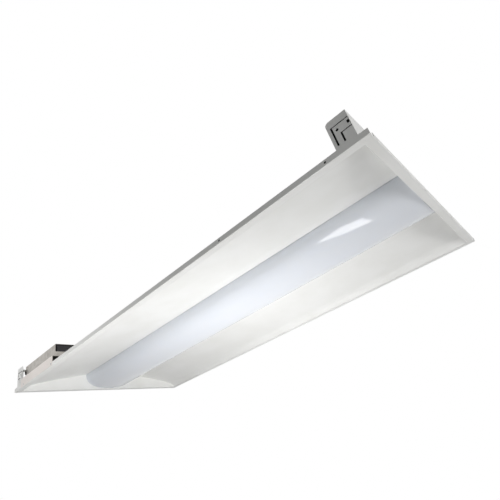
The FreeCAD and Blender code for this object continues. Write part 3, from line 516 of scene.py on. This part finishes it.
def copiesOf(name, piece, points, facing, finish, size=1.0, spin=0.0):
    turn = Vector((0, 0, 1)).rotation_difference(Vector(facing)).to_euler()
    values = {"Piece": piece, "Facing": tuple(turn), "Size": size, "Spin": spin,
              "Seed": chanceSeed, "Finish": finish}
    thing = grown(name, copiesOnPoints, values, points)
    shadeSmooth(thing, meshCare["copySharpFrom"])
    return thing


# fullness is the oval's power: 2 is an ellipse, and more is squarer
lensSizes = {"half": 83.5 * mm, "bottom": 3 * mm, "shoulder": 44 * mm, "rim": 55 * mm,
             "fullness": 2.4, "across": 129, "along": 25, "wall": 2 * mm,
             "capEdge": 0.3 * mm, "pinEdge": 0.2 * mm}


def lensTree():
    # a flat sheet bent to a full-sided oval: X runs round the section, Y along the lens
    tree, given = newTree("lensShape", {
        "Half": "Float", "Bottom": "Float", "Shoulder": "Float", "Rim": "Float",
        "Fullness": "Float", "Length": "Float", "Across": "Int", "Along": "Int",
        "Finish": "Material"})
    flat = addNode(tree, "GeometryNodeMeshGrid", {"Size X": 2.0}, {
        "Size Y": given["Length"], "Vertices X": given["Across"], "Vertices Y": given["Along"]})
    position = addNode(tree, "GeometryNodeInputPosition")
    spot = addNode(tree, "ShaderNodeSeparateXYZ", None, {"Vector": position.outputs[0]})
    known = {word: given[word] for word in ("Half", "Bottom", "Shoulder", "Rim", "Fullness")}
    known["x"] = spot.outputs["X"]
    # up to 1 the run follows the oval, and beyond it the straight side; each line is one step
    for word, operation, *values in (
            ("sideTall", "SUBTRACT", "Rim", "Shoulder"),
            ("side", "DIVIDE", "sideTall", "Half"),
            ("whole", "ADD", "side", 1.0),
            ("run", "MULTIPLY", "x", "whole"),
            ("notUnder", "MAXIMUM", "run", -1.0),
            ("onOval", "MINIMUM", "notUnder", 1.0),
            ("turn", "MULTIPLY", "onOval", math.pi / 2),
            ("power", "DIVIDE", 2.0, "Fullness"),
            ("sine", "SINE", "turn"),
            ("sineSize", "ABSOLUTE", "sine"),
            ("sineSign", "SIGN", "sine"),
            ("outwardSize", "POWER", "sineSize", "power"),
            ("outward", "MULTIPLY", "outwardSize", "sineSign"),
            ("across", "MULTIPLY", "outward", "Half"),
            ("cosine", "COSINE", "turn"),
            ("cosineSize", "ABSOLUTE", "cosine"),
            ("drop", "POWER", "cosineSize", "power"),
            ("depth", "SUBTRACT", "Shoulder", "Bottom"),
            ("dropped", "MULTIPLY", "drop", "depth"),
            ("ovalHeight", "SUBTRACT", "Shoulder", "dropped"),
            ("runSize", "ABSOLUTE", "run"),
            ("past", "SUBTRACT", "runSize", 1.0),
            ("onSide", "MAXIMUM", "past", 0.0),
            ("climb", "MULTIPLY", "onSide", "Half"),
            ("height", "ADD", "ovalHeight", "climb")):
        settings = {index: value for index, value in enumerate(values) if isinstance(value, float)}
        links = {index: known[value] for index, value in enumerate(values)
                 if isinstance(value, str)}
        step = addNode(tree, "ShaderNodeMath", {"operation": operation, **settings}, links)
        known[word] = step.outputs[0]
    place = addNode(tree, "ShaderNodeCombineXYZ", None, {
        "X": known["across"], "Y": spot.outputs["Y"], "Z": known["height"]})
    bent = addNode(tree, "GeometryNodeSetPosition", None, {
        "Geometry": flat.outputs["Mesh"], "Position": place.outputs[0]})
    return closeTree(tree, bent.outputs[0], given["Finish"])


def makeLens():
    s = lensSizes
    low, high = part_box("lens")
    # the tree's inputs have the names of lensSizes
    values = {word.title(): value for word, value in s.items()}
    lens = grown("opalLens", lensTree(), {
        **values, "Length": high.y - low.y, "Finish": finishes["lens_acrylic"]})
    lowest = min(lens.data.polygons, key=lambda face: face.center.z)
    if lowest.normal.z > 0:
        lens.data.flip_normals()
    # the wall grows inwards from the outer face
    wall = lens.modifiers.new("wall", "SOLIDIFY")
    wall.thickness = s["wall"]
    wall.offset = -1
    wall.use_even_offset = True
    plainMesh(lens)
    shadeSmooth(lens, meshCare["sharpFrom"])
    putOn(lens, "lens")
    for end in ("near", "far"):
        putEased("lens_end_cap_" + end, s["capEdge"])
        putEased("lens_hinge_pin_" + end, s["pinEdge"])


makeLens()
print("lens made")

sheetWall = 0.8 * mm
sheetEdge = 0.15 * mm
reflectorSizes = {"bend": 0.8 * mm, "scoopRadius": 35 * mm, "landEnd": 286.8 * mm,
                  "scoopEnd": 272 * mm, "scoopRise": 14.4 * mm, "top": 48.5 * mm,
                  "bow": 2.8 * mm, "straightShare": 0.1, "chord": math.radians(3),
                  "leastChords": 8}


def roundedLine(corners):
    # corners are (x, z, radius), and each round is made of short chords
    points = []
    for index, (x, z, radius) in enumerate(corners):
        spot = Vector((x, z))
        if not radius:
            points.append(spot)
            continue
        back = (Vector(corners[index - 1][:2]) - spot).normalized()
        ahead = (Vector(corners[index + 1][:2]) - spot).normalized()
        half = back.angle(ahead) / 2
        centre = spot + (back + ahead).normalized() * (radius / math.sin(half))
        start = spot + back * (radius / math.tan(half)) - centre
        turn = math.pi - 2 * half
        sign = 1 if start.x * ahead.y - start.y * ahead.x > 0 else -1
        count = max(reflectorSizes["leastChords"], math.ceil(turn / reflectorSizes["chord"]))
        for part in range(count + 1):
            points.append(centre + Matrix.Rotation(sign * turn * part / count, 2) @ start)
    return points


def sheetAlong(name, line, start, stop):
    # gives the line a sheet's wall on its left and runs it along the fixture
    normals = []
    for index, point in enumerate(line):
        before = (point - line[index - 1] if index else line[1] - point).normalized()
        after = (line[index + 1] - point).normalized() if index < len(line) - 1 else before
        both = (before + after).normalized()
        side = Vector((-both.y, both.x))
        normals.append(side / side.dot(Vector((-after.y, after.x))))
    outer = [point + normal * sheetWall for point, normal in zip(line, normals)]
    section = list(line) + outer[::-1]
    bm = bmesh.new()
    first, second = [[bm.verts.new((p.x, y, p.y)) for p in section] for y in (start, stop)]
    for index in range(len(section)):
        after = (index + 1) % len(section)
        bm.faces.new((first[index], first[after], second[after], second[index]))
    for ring in (first, second):
        for index in range(len(line) - 1):
            bm.faces.new((ring[index], ring[index + 1], ring[-index - 2], ring[-index - 1]))
    return fromBmesh(name, bm)


def makeReflectors():
    s = reflectorSizes
    low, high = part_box("side_reflector_left")
    scoop = (s["scoopEnd"], low.z + s["scoopRise"])
    crown = ((scoop[0] - high.x) / 2, (scoop[1] + s["top"]) / 2 + s["bow"])
    # the arc that bows the panel by that much and leaves the ends of both runs straight
    crownRadius = (1 - s["straightShare"]) / 2 * ((scoop[0] + high.x) / 2) ** 2 / s["bow"]
    line = roundedLine([
        (low.x, low.z, 0),
        (-s["landEnd"], low.z, s["bend"]),
        (-scoop[0], scoop[1], s["scoopRadius"]),
        (-crown[0], crown[1], crownRadius),
        (high.x, s["top"], s["bend"]),
        (high.x, high.z, 0)])
    left = sheetAlong("sideReflectorLeft", line, low.y, high.y)
    right = sheetAlong("sideReflectorRight", line, low.y, high.y)
    moved(right, Matrix.Scale(-1, 4, (1, 0, 0)))
    right.data.flip_normals()
    putOn(easeEdges(left, 0), "side_reflector_left")
    putOn(easeEdges(right, 0), "side_reflector_right")


def makeFrame():
    clips = ["grid_clip_" + end + side for end in ("near", "far") for side in ("_left", "_right")]
    for node in ["side_rail_left", "side_rail_right", "end_plate_near", "end_plate_far",
                 "gear_tray", "knockout_disc"] + clips:
        putEased(node, sheetEdge)


makeReflectors()
makeFrame()
print("reflectors and frame made")

# sizes of the painted-shade pads: end is how far along Y the clips' pads reach, and the dots are
# the rail holes' pads
shadePadSizes = {"wall": 1.8 * mm, "margin": 3 * mm, "slit": 3 * mm, "end": 589.9 * mm,
            "edge": 0.25 * mm, "dotHalf": 4 * mm, "dotWall": 1.2 * mm}


def makeShadePads():
    # black foam pads behind the clips' slits and the rails' holes, put there as painted shade so
    # that the slits and holes look dark
    s = shadePadSizes
    pads = []
    for node in nodesNamed("grid_clip_"):
        low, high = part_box(node)
        end = 1 if low.y > 0 else -1
        face = high.x if high.x < 0 else low.x
        inner = (low.y if end > 0 else high.y) - end * (s["slit"] + s["margin"])
        corner = Vector((face, end * s["end"], low.z - s["margin"]))
        opposite = Vector((face - math.copysign(s["wall"], face), inner, high.z + s["margin"]))
        pads.append(boxThing("pad", corner, opposite, s["edge"]))
    for mount in [mount for mount in record["mounts"] if mount["name"].startswith("rail_hole")]:
        x, y, z = mount["pos_m"]
        face = math.copysign(abs(x) - sheetWall / 2, x)
        corner = Vector((face, y - s["dotHalf"], z - s["dotHalf"]))
        opposite = Vector((face - math.copysign(s["dotWall"], face), y + s["dotHalf"],
                           z + s["dotHalf"]))
        pads.append(boxThing("pad", corner, opposite, s["edge"]))
    # the pads paint the shade seen through the slits and holes
    pads = easeEdges(joinThings("foamPads", pads), 0)
    putOn(pads, "side_rail_left", finishes["foam"], extra=True)


makeShadePads()

# all in millimetres: the heads bear at 0 and the shanks point up
screwThread = {"pitch": 0.7, "core": 1.4, "crest": 1.75}
screwTip = [(3.3, 1.4), (3.6, 0.84)]
panHead = {"rise": 2.0, "threadFrom": 0.3, "turns": 4, "rings": [
    (-0.9, 0.9, 0.35), (-1.98, 1.9, 0.6), (-2.0, 2.15), (-1.76, 2.85), (-1.2, 3.32), (-0.4, 3.5),
    (0, 3.5), (0, 1.75)]}
# a countersunk head's top is at 0
flatHead = {"rise": 0.0, "threadFrom": 0.9, "turns": 3, "rings": [
    (1.1, 0.7, 0.3), (0.01, 1.5, 0.5), (0, 1.7), (0, 2.5), (0.12, 2.55), (0.8, 1.75)]}
# a domed head with the broken mandrel in its middle
rivetHead = {"rise": 1.0, "sides": 24, "rings": [
    (-0.35, 0.9), (-1.0, 1.0), (-1.0, 1.4), (-0.8, 2.3), (-0.3, 3.0), (0, 3.0), (0, 1.6),
    (2.1, 1.6), (2.4, 1.28)]}
down, up, toRight, toLeft = (0, 0, -1), (0, 0, 1), (1, 0, 0), (-1, 0, 0)
wholeTurn = 2 * math.pi


def crossScrew(name, head):
    # a screw with a cross recess in its head
    s = screwThread
    thread = threadRings(head["threadFrom"], head["turns"], s["pitch"], s["core"], s["crest"])
    return turnedThing(name, head["rings"] + thread + screwTip)


def seats(node, facing, rise, side=0):
    # where each head bears: the face of the fastener's own box, less the height of its head
    axis = max(range(3), key=lambda i: abs(facing[i]))
    spots = []
    for low, high in islands(node):
        spot = (low + high) / 2
        if spot.x * side < 0:
            continue
        spot[axis] = low[axis] + rise * mm if facing[axis] > 0 else high[axis] - rise * mm
        spots.append(spot)
    return spots


def makeFasteners():
    pan, flat = crossScrew("panScrew", panHead), crossScrew("flatScrew", flatHead)
    for node, facing, piece, head in (
            ("tray_screws", down, pan, panHead),
            ("cover_screws", down, pan, panHead),
            ("driver_screws", down, pan, panHead),
            ("ground_screw", down, pan, panHead),
            ("board_screws", up, pan, panHead),
            ("side_plate_screws", toRight, flat, flatHead)):
        name = pieceName(node.replace("screws", "screw").split("_")) + "s"
        spots = seats(node, facing, head["rise"])
        putOn(copiesOf(name, piece, spots, facing, finishes[slotOf[node]], spin=wholeTurn), node)
    rivet = turnedThing("blindRivet", rivetHead["rings"], rivetHead["sides"])
    halves = []
    for side, facing in ((-1, toRight), (1, toLeft)):
        spots = seats("reflector_rivets", facing, rivetHead["rise"], side)
        halves.append(copiesOf("rivetRow", rivet, spots, facing, finishes["rivet_aluminium"],
                               spin=wholeTurn))
    putOn(joinThings("reflectorRivets", halves), "reflector_rivets")
    discard([flat, rivet])
    return pan


panPiece = makeFasteners()
print("fasteners made")

# the window's rings are in millimetres, from inside the housing to its face
ledSizes = {"edge": 0.15 * mm, "segments": 1, "windowSides": 12, "windowRings": [
    (0.1, 1.15), (-0.34, 1.15), (-0.37, 0.8), (-0.38, 0.3)]}


def makeLeds():
    # white housings with a yellow window, in one row on each board
    s = ledSizes
    window = turnedThing("ledWindow", s["windowRings"], s["windowSides"])
    for node in nodesNamed("leds_"):
        centres, half = centresAndHalf(node)
        housing = boxThing("ledHousing", -half, half, s["edge"], s["segments"])
        place = {"Count": len(centres), "Start": tuple(centres[0]),
                 "Pitch": centres[1].y - centres[0].y}
        words = node.split("_")[1:]
        housings = grown(pieceName(["ledHousings"] + words), copiesInRow, {
            **place, "Piece": housing, "Finish": finishes["led_package"]})
        putOn(housings, node)
        windows = grown(pieceName(["ledWindows"] + words), copiesInRow, {
            **place, "Piece": window, "Finish": finishes["phosphor"]})
        windows.data.shade_smooth()
        putOn(windows, node, extra=True)
        discard([housing])
    discard([window])


# the entries are in millimetres, and their drop is a share of the plug's half height
plugSizes = {"edge": 0.4 * mm, "entry": 1.25, "entryDeep": 2.0, "entrySides": 16,
             "entryDrop": 0.2, "slot": Vector((1.3, 3.2, 0.8)) * mm}


def makePlugs():
    # push-in board connectors with a round entry for each wire and a release slot on their face
    s = plugSizes
    centres, half = centresAndHalf("board_connectors")
    plug = boxThing("boardPlug", -half, half, s["edge"])
    cutters = []
    for across in (-half.x / 2, half.x / 2):
        for end in (-half.y, half.y):
            cutters.append(entryCutter((across, end, -half.z * s["entryDrop"]), s["entry"],
                                       s["entryDeep"], s["entrySides"]))
        middle = Vector((across, 0, -half.z))
        cutters.append(boxThing("slot", middle - s["slot"] / 2, middle + s["slot"] / 2))
    carve(plug, cutters)
    plugs = copiesOf("boardConnectors", plug, centres, up, finishes["connector_nylon"])
    putOn(plugs, "board_connectors")
    discard([plug])


boardEdge = 0.1 * mm
springEdge = 0.05 * mm


def makeLightEngine():
    makeLeds()
    makePlugs()
    for node in nodesNamed("led_board"):
        putEased(node, boardEdge)
    for node in ("board_jumpers", "led_leads"):
        putEased(node, 0)
    putEased("lens_catch_springs", springEdge)


makeLightEngine()
print("light engine made")

driverSizes = {"edge": 0.25 * mm, "lidDeep": 9 * mm, "lidWall": 0.35 * mm, "lidRise": 0.3 * mm,
               "lidEdge": 0.15 * mm, "cutPast": 1 * mm, "foot": 10 * mm}


def makeDriver():
    # the case takes a folded lid, whose skirt shows as a step round its top
    s = driverSizes
    putEased("led_driver", s["edge"])
    low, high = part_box("led_driver")
    wall = Vector((s["lidWall"], s["lidWall"], 0))
    lidLow = Vector((low.x, low.y, high.z - s["lidDeep"])) - wall
    lidHigh = Vector((high.x, high.y - s["foot"], high.z + s["lidRise"])) + wall
    lid = boxThing("driverLid", lidLow, lidHigh)
    inside = boxThing("inside", lidLow + wall - Vector((0, 0, s["cutPast"])),
                      lidHigh - wall - Vector((0, 0, s["lidRise"])))
    carve(lid, [inside])
    putOn(easeEdges(lid, s["lidEdge"]), "led_driver", extra=True)


# the rings are in millimetres, and thinLead is the size of a bush on a thinner lead
bushSizes = {"sides": 20, "thinLead": 0.62, "rings": [
    (-0.6, 1.35), (-0.6, 2.6), (-0.3, 2.9), (0.9, 2.9), (1.2, 2.5), (1.4, 1.35)]}


def makeBushes():
    # rubber bushes where the leads leave the driver
    bush = turnedThing("bush", bushSizes["rings"], bushSizes["sides"], bored=True)
    supply = [Vector(((low.x + high.x) / 2, low.y, (low.z + high.z) / 2))
              for low, high in islands("driver_input_leads")]
    output = [Vector((low.x, (low.y + high.y) / 2, (low.z + high.z) / 2))
              for low, high in islands("led_leads")]
    halves = [copiesOf("bushes", bush, supply, (0, 1, 0), finishes["wire_black"]),
              copiesOf("bushes", bush, output, toRight, finishes["wire_black"],
                       size=bushSizes["thinLead"])]
    putOn(joinThings("leadBushes", halves), "led_driver", extra=True)
    discard([bush])


# the ports are in millimetres, and their pitch is a share of the splice's half width
spliceSizes = {"edge": 1.1 * mm, "segments": 3, "port": 1.9, "portDeep": 4.0, "portSides": 20,
               "portPitch": 0.62, "contact": Vector((11, 9, 0.8)) * mm, "contactEdge": 0.2 * mm}


def makeSplices():
    # clear push-in splices: a flat contact inside, and three ports at the supply's end
    s = spliceSizes
    node = "push_in_splices"
    centres, half = centresAndHalf(node)
    body = boxThing("splice", -half, half, s["edge"], s["segments"])
    carve(body, [entryCutter((step * half.x * s["portPitch"], half.y, 0), s["port"], s["portDeep"],
                             s["portSides"]) for step in (-1, 0, 1)])
    contact = boxThing("contact", -s["contact"] / 2, s["contact"] / 2, s["contactEdge"])
    putOn(copiesOf("pushInSplices", body, centres, up, finishes["splice_amber"]), node)
    contacts = copiesOf("spliceContacts", contact, centres, up, finishes["zinc_steel"])
    putOn(contacts, node, extra=True)
    discard([body, contact])


connectorSizes = {"tubeSides": 48, "nutSides": 64, "nutLugs": 8, "lugShare": 0.5,
                  "ear": Vector((2, 2.4, 2.5)) * mm, "earAcross": 8.6 * mm, "earEdge": 0.4 * mm,
                  "earDrop": 2.6 * mm, "screwAcross": 8.8 * mm, "screwDrop": 5 * mm,
                  "screwSize": 0.5, "strapMiddle": 15.5 * mm}
# the thread and all rings are in millimetres from the inner end of the tail
tailThread = {"from": 0.4, "turns": 5, "pitch": 0.8, "crest": 8.0, "root": 7.4}
tailEnd = [(0, 6.0), (0, 7.4)]
tubeRings = [(4, 8), (4.8, 8), (4.8, 11), (6.5, 11), (6.8, 10.6), (6.8, 8.7), (7.8, 8), (23.8, 8),
             (24.8, 7.4), (24.8, 6.5), (24.2, 6)]
nutRings = [(2.1, 8), (2.1, 10.3, 8.9), (2.4, 10.7, 9.3), (3.7, 10.7, 9.3), (4, 10.3, 8.9), (4, 8)]
strapRings = [(13, 8), (13, 9.2), (18, 9.2), (18, 8)]


def makeConnector():
    # a threaded tail with its locknut inside the box, a collar outside, and a clamp strap on the
    # tube; all are made upright, and the seat lays them along Y
    s, t = connectorSizes, tailThread
    thread = threadRings(t["from"], t["turns"], t["pitch"], t["crest"], t["root"])
    tube = turnedThing("tube", tailEnd + thread + tubeRings, s["tubeSides"], bored=True)
    nut = turnedThing("nut", nutRings, s["nutSides"], s["nutLugs"], s["lugShare"], bored=True)
    strap = turnedThing("strap", strapRings, s["tubeSides"], bored=True)
    ears = []
    for side in (-1, 1):
        spot = Vector((side * s["earAcross"], -s["earDrop"], s["strapMiddle"]))
        ears.append(boxThing("ear", spot - s["ear"], spot + s["ear"], s["earEdge"]))
    low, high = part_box("conduit_connector")
    foot = Vector(((low.x + high.x) / 2, low.y, (low.z + high.z) / 2))
    seat = Matrix.Translation(foot) @ Matrix.Rotation(-math.pi / 2, 4, "X")
    connector = moved(joinThings("conduitConnector", [tube, nut, strap] + ears), seat)
    putOn(easeEdges(connector, 0), "conduit_connector")
    spots = [seat @ Vector((side * s["screwAcross"], -s["screwDrop"], s["strapMiddle"]))
             for side in (-1, 1)]
    screws = copiesOf("clampScrews", panPiece, spots, down, finishes["zinc_steel"],
                      size=s["screwSize"], spin=wholeTurn)
    putOn(screws, "conduit_connector", extra=True)


def makeDriverBox():
    for node in ("driver_tray", "driver_cover", "driver_side_plate"):
        putEased(node, sheetEdge)
    putEased("driver_input_leads", 0)
    makeDriver()
    makeBushes()
    makeSplices()
    makeConnector()


makeDriverBox()
discard([panPiece])
leftAsTheyAre = [node for node, thing in frame["nodes"].items() if not thing.hide_render]
print("driver box made; left as they are:", leftAsTheyAre)


def seenPlainly(tree):
    # 1 for a ray from the camera, off gloss or through clear plastic, and 0 for the light itself
    ray = addNode(tree, "ShaderNodeLightPath").outputs
    clear = addNode(tree, "ShaderNodeMath", {"operation": "MAXIMUM"},
                    {0: ray["Is Glossy Ray"], 1: ray["Is Transmission Ray"]})
    seen = addNode(tree, "ShaderNodeMath", {"operation": "MAXIMUM"},
                   {0: ray["Is Camera Ray"], 1: clear.outputs[0]})
    return seen.outputs[0]


floorSizes = {"half": 12.0, "height": -2.6}
floorPaint = {"pale": "#F2F2F1", "dark": "#EEEEED", "rough": 0.9, "roller": 0.25,
              "glow": 0.75, "glowColour": "#FFFFFF"}


def rolledPaint(name, spec):
    # matt floor paint with the roller's wide mottling: it looks near white and takes the shadow
    material, tree, place = newMaterial(name)
    mottle = addNode(tree, "ShaderNodeTexNoise", {"Scale": 1 / spec["roller"], "Detail": 2},
                     {"Vector": place})
    tint = addNode(tree, "ShaderNodeMix", {
        "data_type": "RGBA", 6: hexColour(spec["dark"]), 7: hexColour(spec["pale"])},
        {0: mottle.outputs[0]})
    glow = addNode(tree, "ShaderNodeMath", {"operation": "MULTIPLY", 1: spec["glow"]},
                   {0: seenPlainly(tree)})
    looks = {"Roughness": spec["rough"], "Emission Color": hexColour(spec["glowColour"])}
    closeMaterial(tree, looks, {
        "Base Color": tint.outputs[2], "Emission Strength": glow.outputs[0]})
    return material


def makeFloor():
    # a painted floor a room's height below the ceiling light
    bm = bmesh.new()
    bmesh.ops.create_grid(bm, x_segments=1, y_segments=1, size=floorSizes["half"])
    floor = moved(fromBmesh("floor", bm), Matrix.Translation((0, 0, floorSizes["height"])))
    if floor.data.polygons[0].normal.z < 0:
        floor.data.flip_normals()
    floor.data.materials.append(rolledPaint("paintedFloor", floorPaint))


roomLight = {"colour": "#FFFFFF", "dim": 0.1, "seen": 1.0}


def makeWorld():
    # a dim even room, and plain white where it is seen directly, in gloss or through plastic
    world = bpy.data.worlds.new("studioRoom")
    world.use_nodes = True
    tree = world.node_tree
    tree.nodes.clear()
    room, white = [addNode(tree, "ShaderNodeBackground", {
        "Color": hexColour(roomLight["colour"]), "Strength": roomLight[word]}).outputs[0]
        for word in ("dim", "seen")]
    mixed = addNode(tree, "ShaderNodeMixShader", None,
                    {"Fac": seenPlainly(tree), 1: room, 2: white})
    addNode(tree, "ShaderNodeOutputWorld", None, {"Surface": mixed.outputs[0]})
    bpy.context.scene.world = world


# metres and watts: the low lamps in front leave the near end in soft shadow, those below light
# the middle, and those above and beside light what stands above the ceiling
lamps = {
    "front": {"spot": (-1.5, -2.2, -1.1), "aim": (0, -0.25, 0), "size": 0.8, "power": 12},
    "end": {"spot": (0, -2.6, -0.8), "aim": (0, -0.25, 0), "size": 0.6, "power": 17.5},
    "below": {"spot": (0, -0.09, -0.42), "aim": (0, -0.09, 0), "size": 0.4, "power": 1.7},
    "belowLeft": {"spot": (-0.4, 0.1, -0.35), "aim": (0, 0.05, 0), "size": 0.3, "power": 0.38},
    "belowFar": {"spot": (-0.6, 0.4, -0.3), "aim": (0, 0.2, 0), "size": 0.3, "power": 0.45},
    "belowRight": {"spot": (0.35, 0.35, -0.4), "aim": (0.2, 0.35, 0), "size": 0.3, "power": 0.25},
    "side": {"spot": (-0.7, 0.45, 0.1), "aim": (0, 0.23, 0), "size": 0.2, "power": 0.8},
    "above": {"spot": (0.8, 0.6, 1.0), "aim": (0, 0, 0), "size": 0.8, "power": 14},
    "right": {"spot": (2.0, 0.9, 0.35), "aim": (0, 0, 0), "size": 0.8, "power": 14},
    "behind": {"spot": (0.4, 2.4, 0.35), "aim": (0, 0, 0), "size": 0.8, "power": 14},
}
# a soft box whose edge-on reflection makes the blade of light on the lens
stripBox = {"middle": (-0.2841, -0.1891, -0.8597), "across": (0.7221, -0.0746, -0.6877),
            "facing": (-0.1864, -0.9784, -0.0896), "size": (0.7295, 0.9613), "power": 15.3}


def addLamp(name, spot, turn, size, power):
    data = bpy.data.lights.new(name, "AREA")
    data.shape = "RECTANGLE"
    data.size, data.size_y = size
    data.energy = power
    lamp = newThing(name, data)
    lamp.matrix_world = Matrix.Translation(spot) @ turn.to_4x4()
    lamp.visible_camera = False
    return lamp


def makeLamps():
    for name, lamp in lamps.items():
        aim = Vector(lamp["aim"]) - Vector(lamp["spot"])
        turn = aim.to_track_quat("-Z", "Y").to_matrix()
        size = (lamp["size"], lamp["size"])
        addLamp(name, lamp["spot"], turn, size, lamp["power"]).visible_glossy = False
    # the soft box shows in gloss alone
    s = stripBox
    across = Vector(s["across"]).normalized()
    back = -Vector(s["facing"]).normalized()
    turn = Matrix((across, back.cross(across), back)).transposed()
    addLamp("stripBox", s["middle"], turn, s["size"], s["power"]).visible_diffuse = False


camera = {"spot": (-0.75439, -0.67376, -0.35336), "right": (0.66921, -0.70807, -0.22539),
          "ahead": (0.70769, 0.51483, 0.48387), "sensor": 36, "lens": 27.604,
          "shift": (0.01563, 0.00417), "nearest": 10 * mm}


def makeCamera():
    data = bpy.data.cameras.new("camera")
    data.sensor_width = camera["sensor"]
    data.lens = camera["lens"]
    data.shift_x, data.shift_y = camera["shift"]
    data.clip_start = camera["nearest"]
    thing = newThing("camera", data)
    ahead = Vector(camera["ahead"]).normalized()
    right = Vector(camera["right"]).normalized()
    turn = Matrix((right, right.cross(ahead), -ahead)).transposed()
    thing.matrix_world = Matrix.Translation(camera["spot"]) @ turn.to_4x4()
    bpy.context.scene.camera = thing


makeFloor()
makeWorld()
makeLamps()
makeCamera()
bpy.context.scene.view_settings.view_transform = "Standard"
print("stage, lamps and camera made")
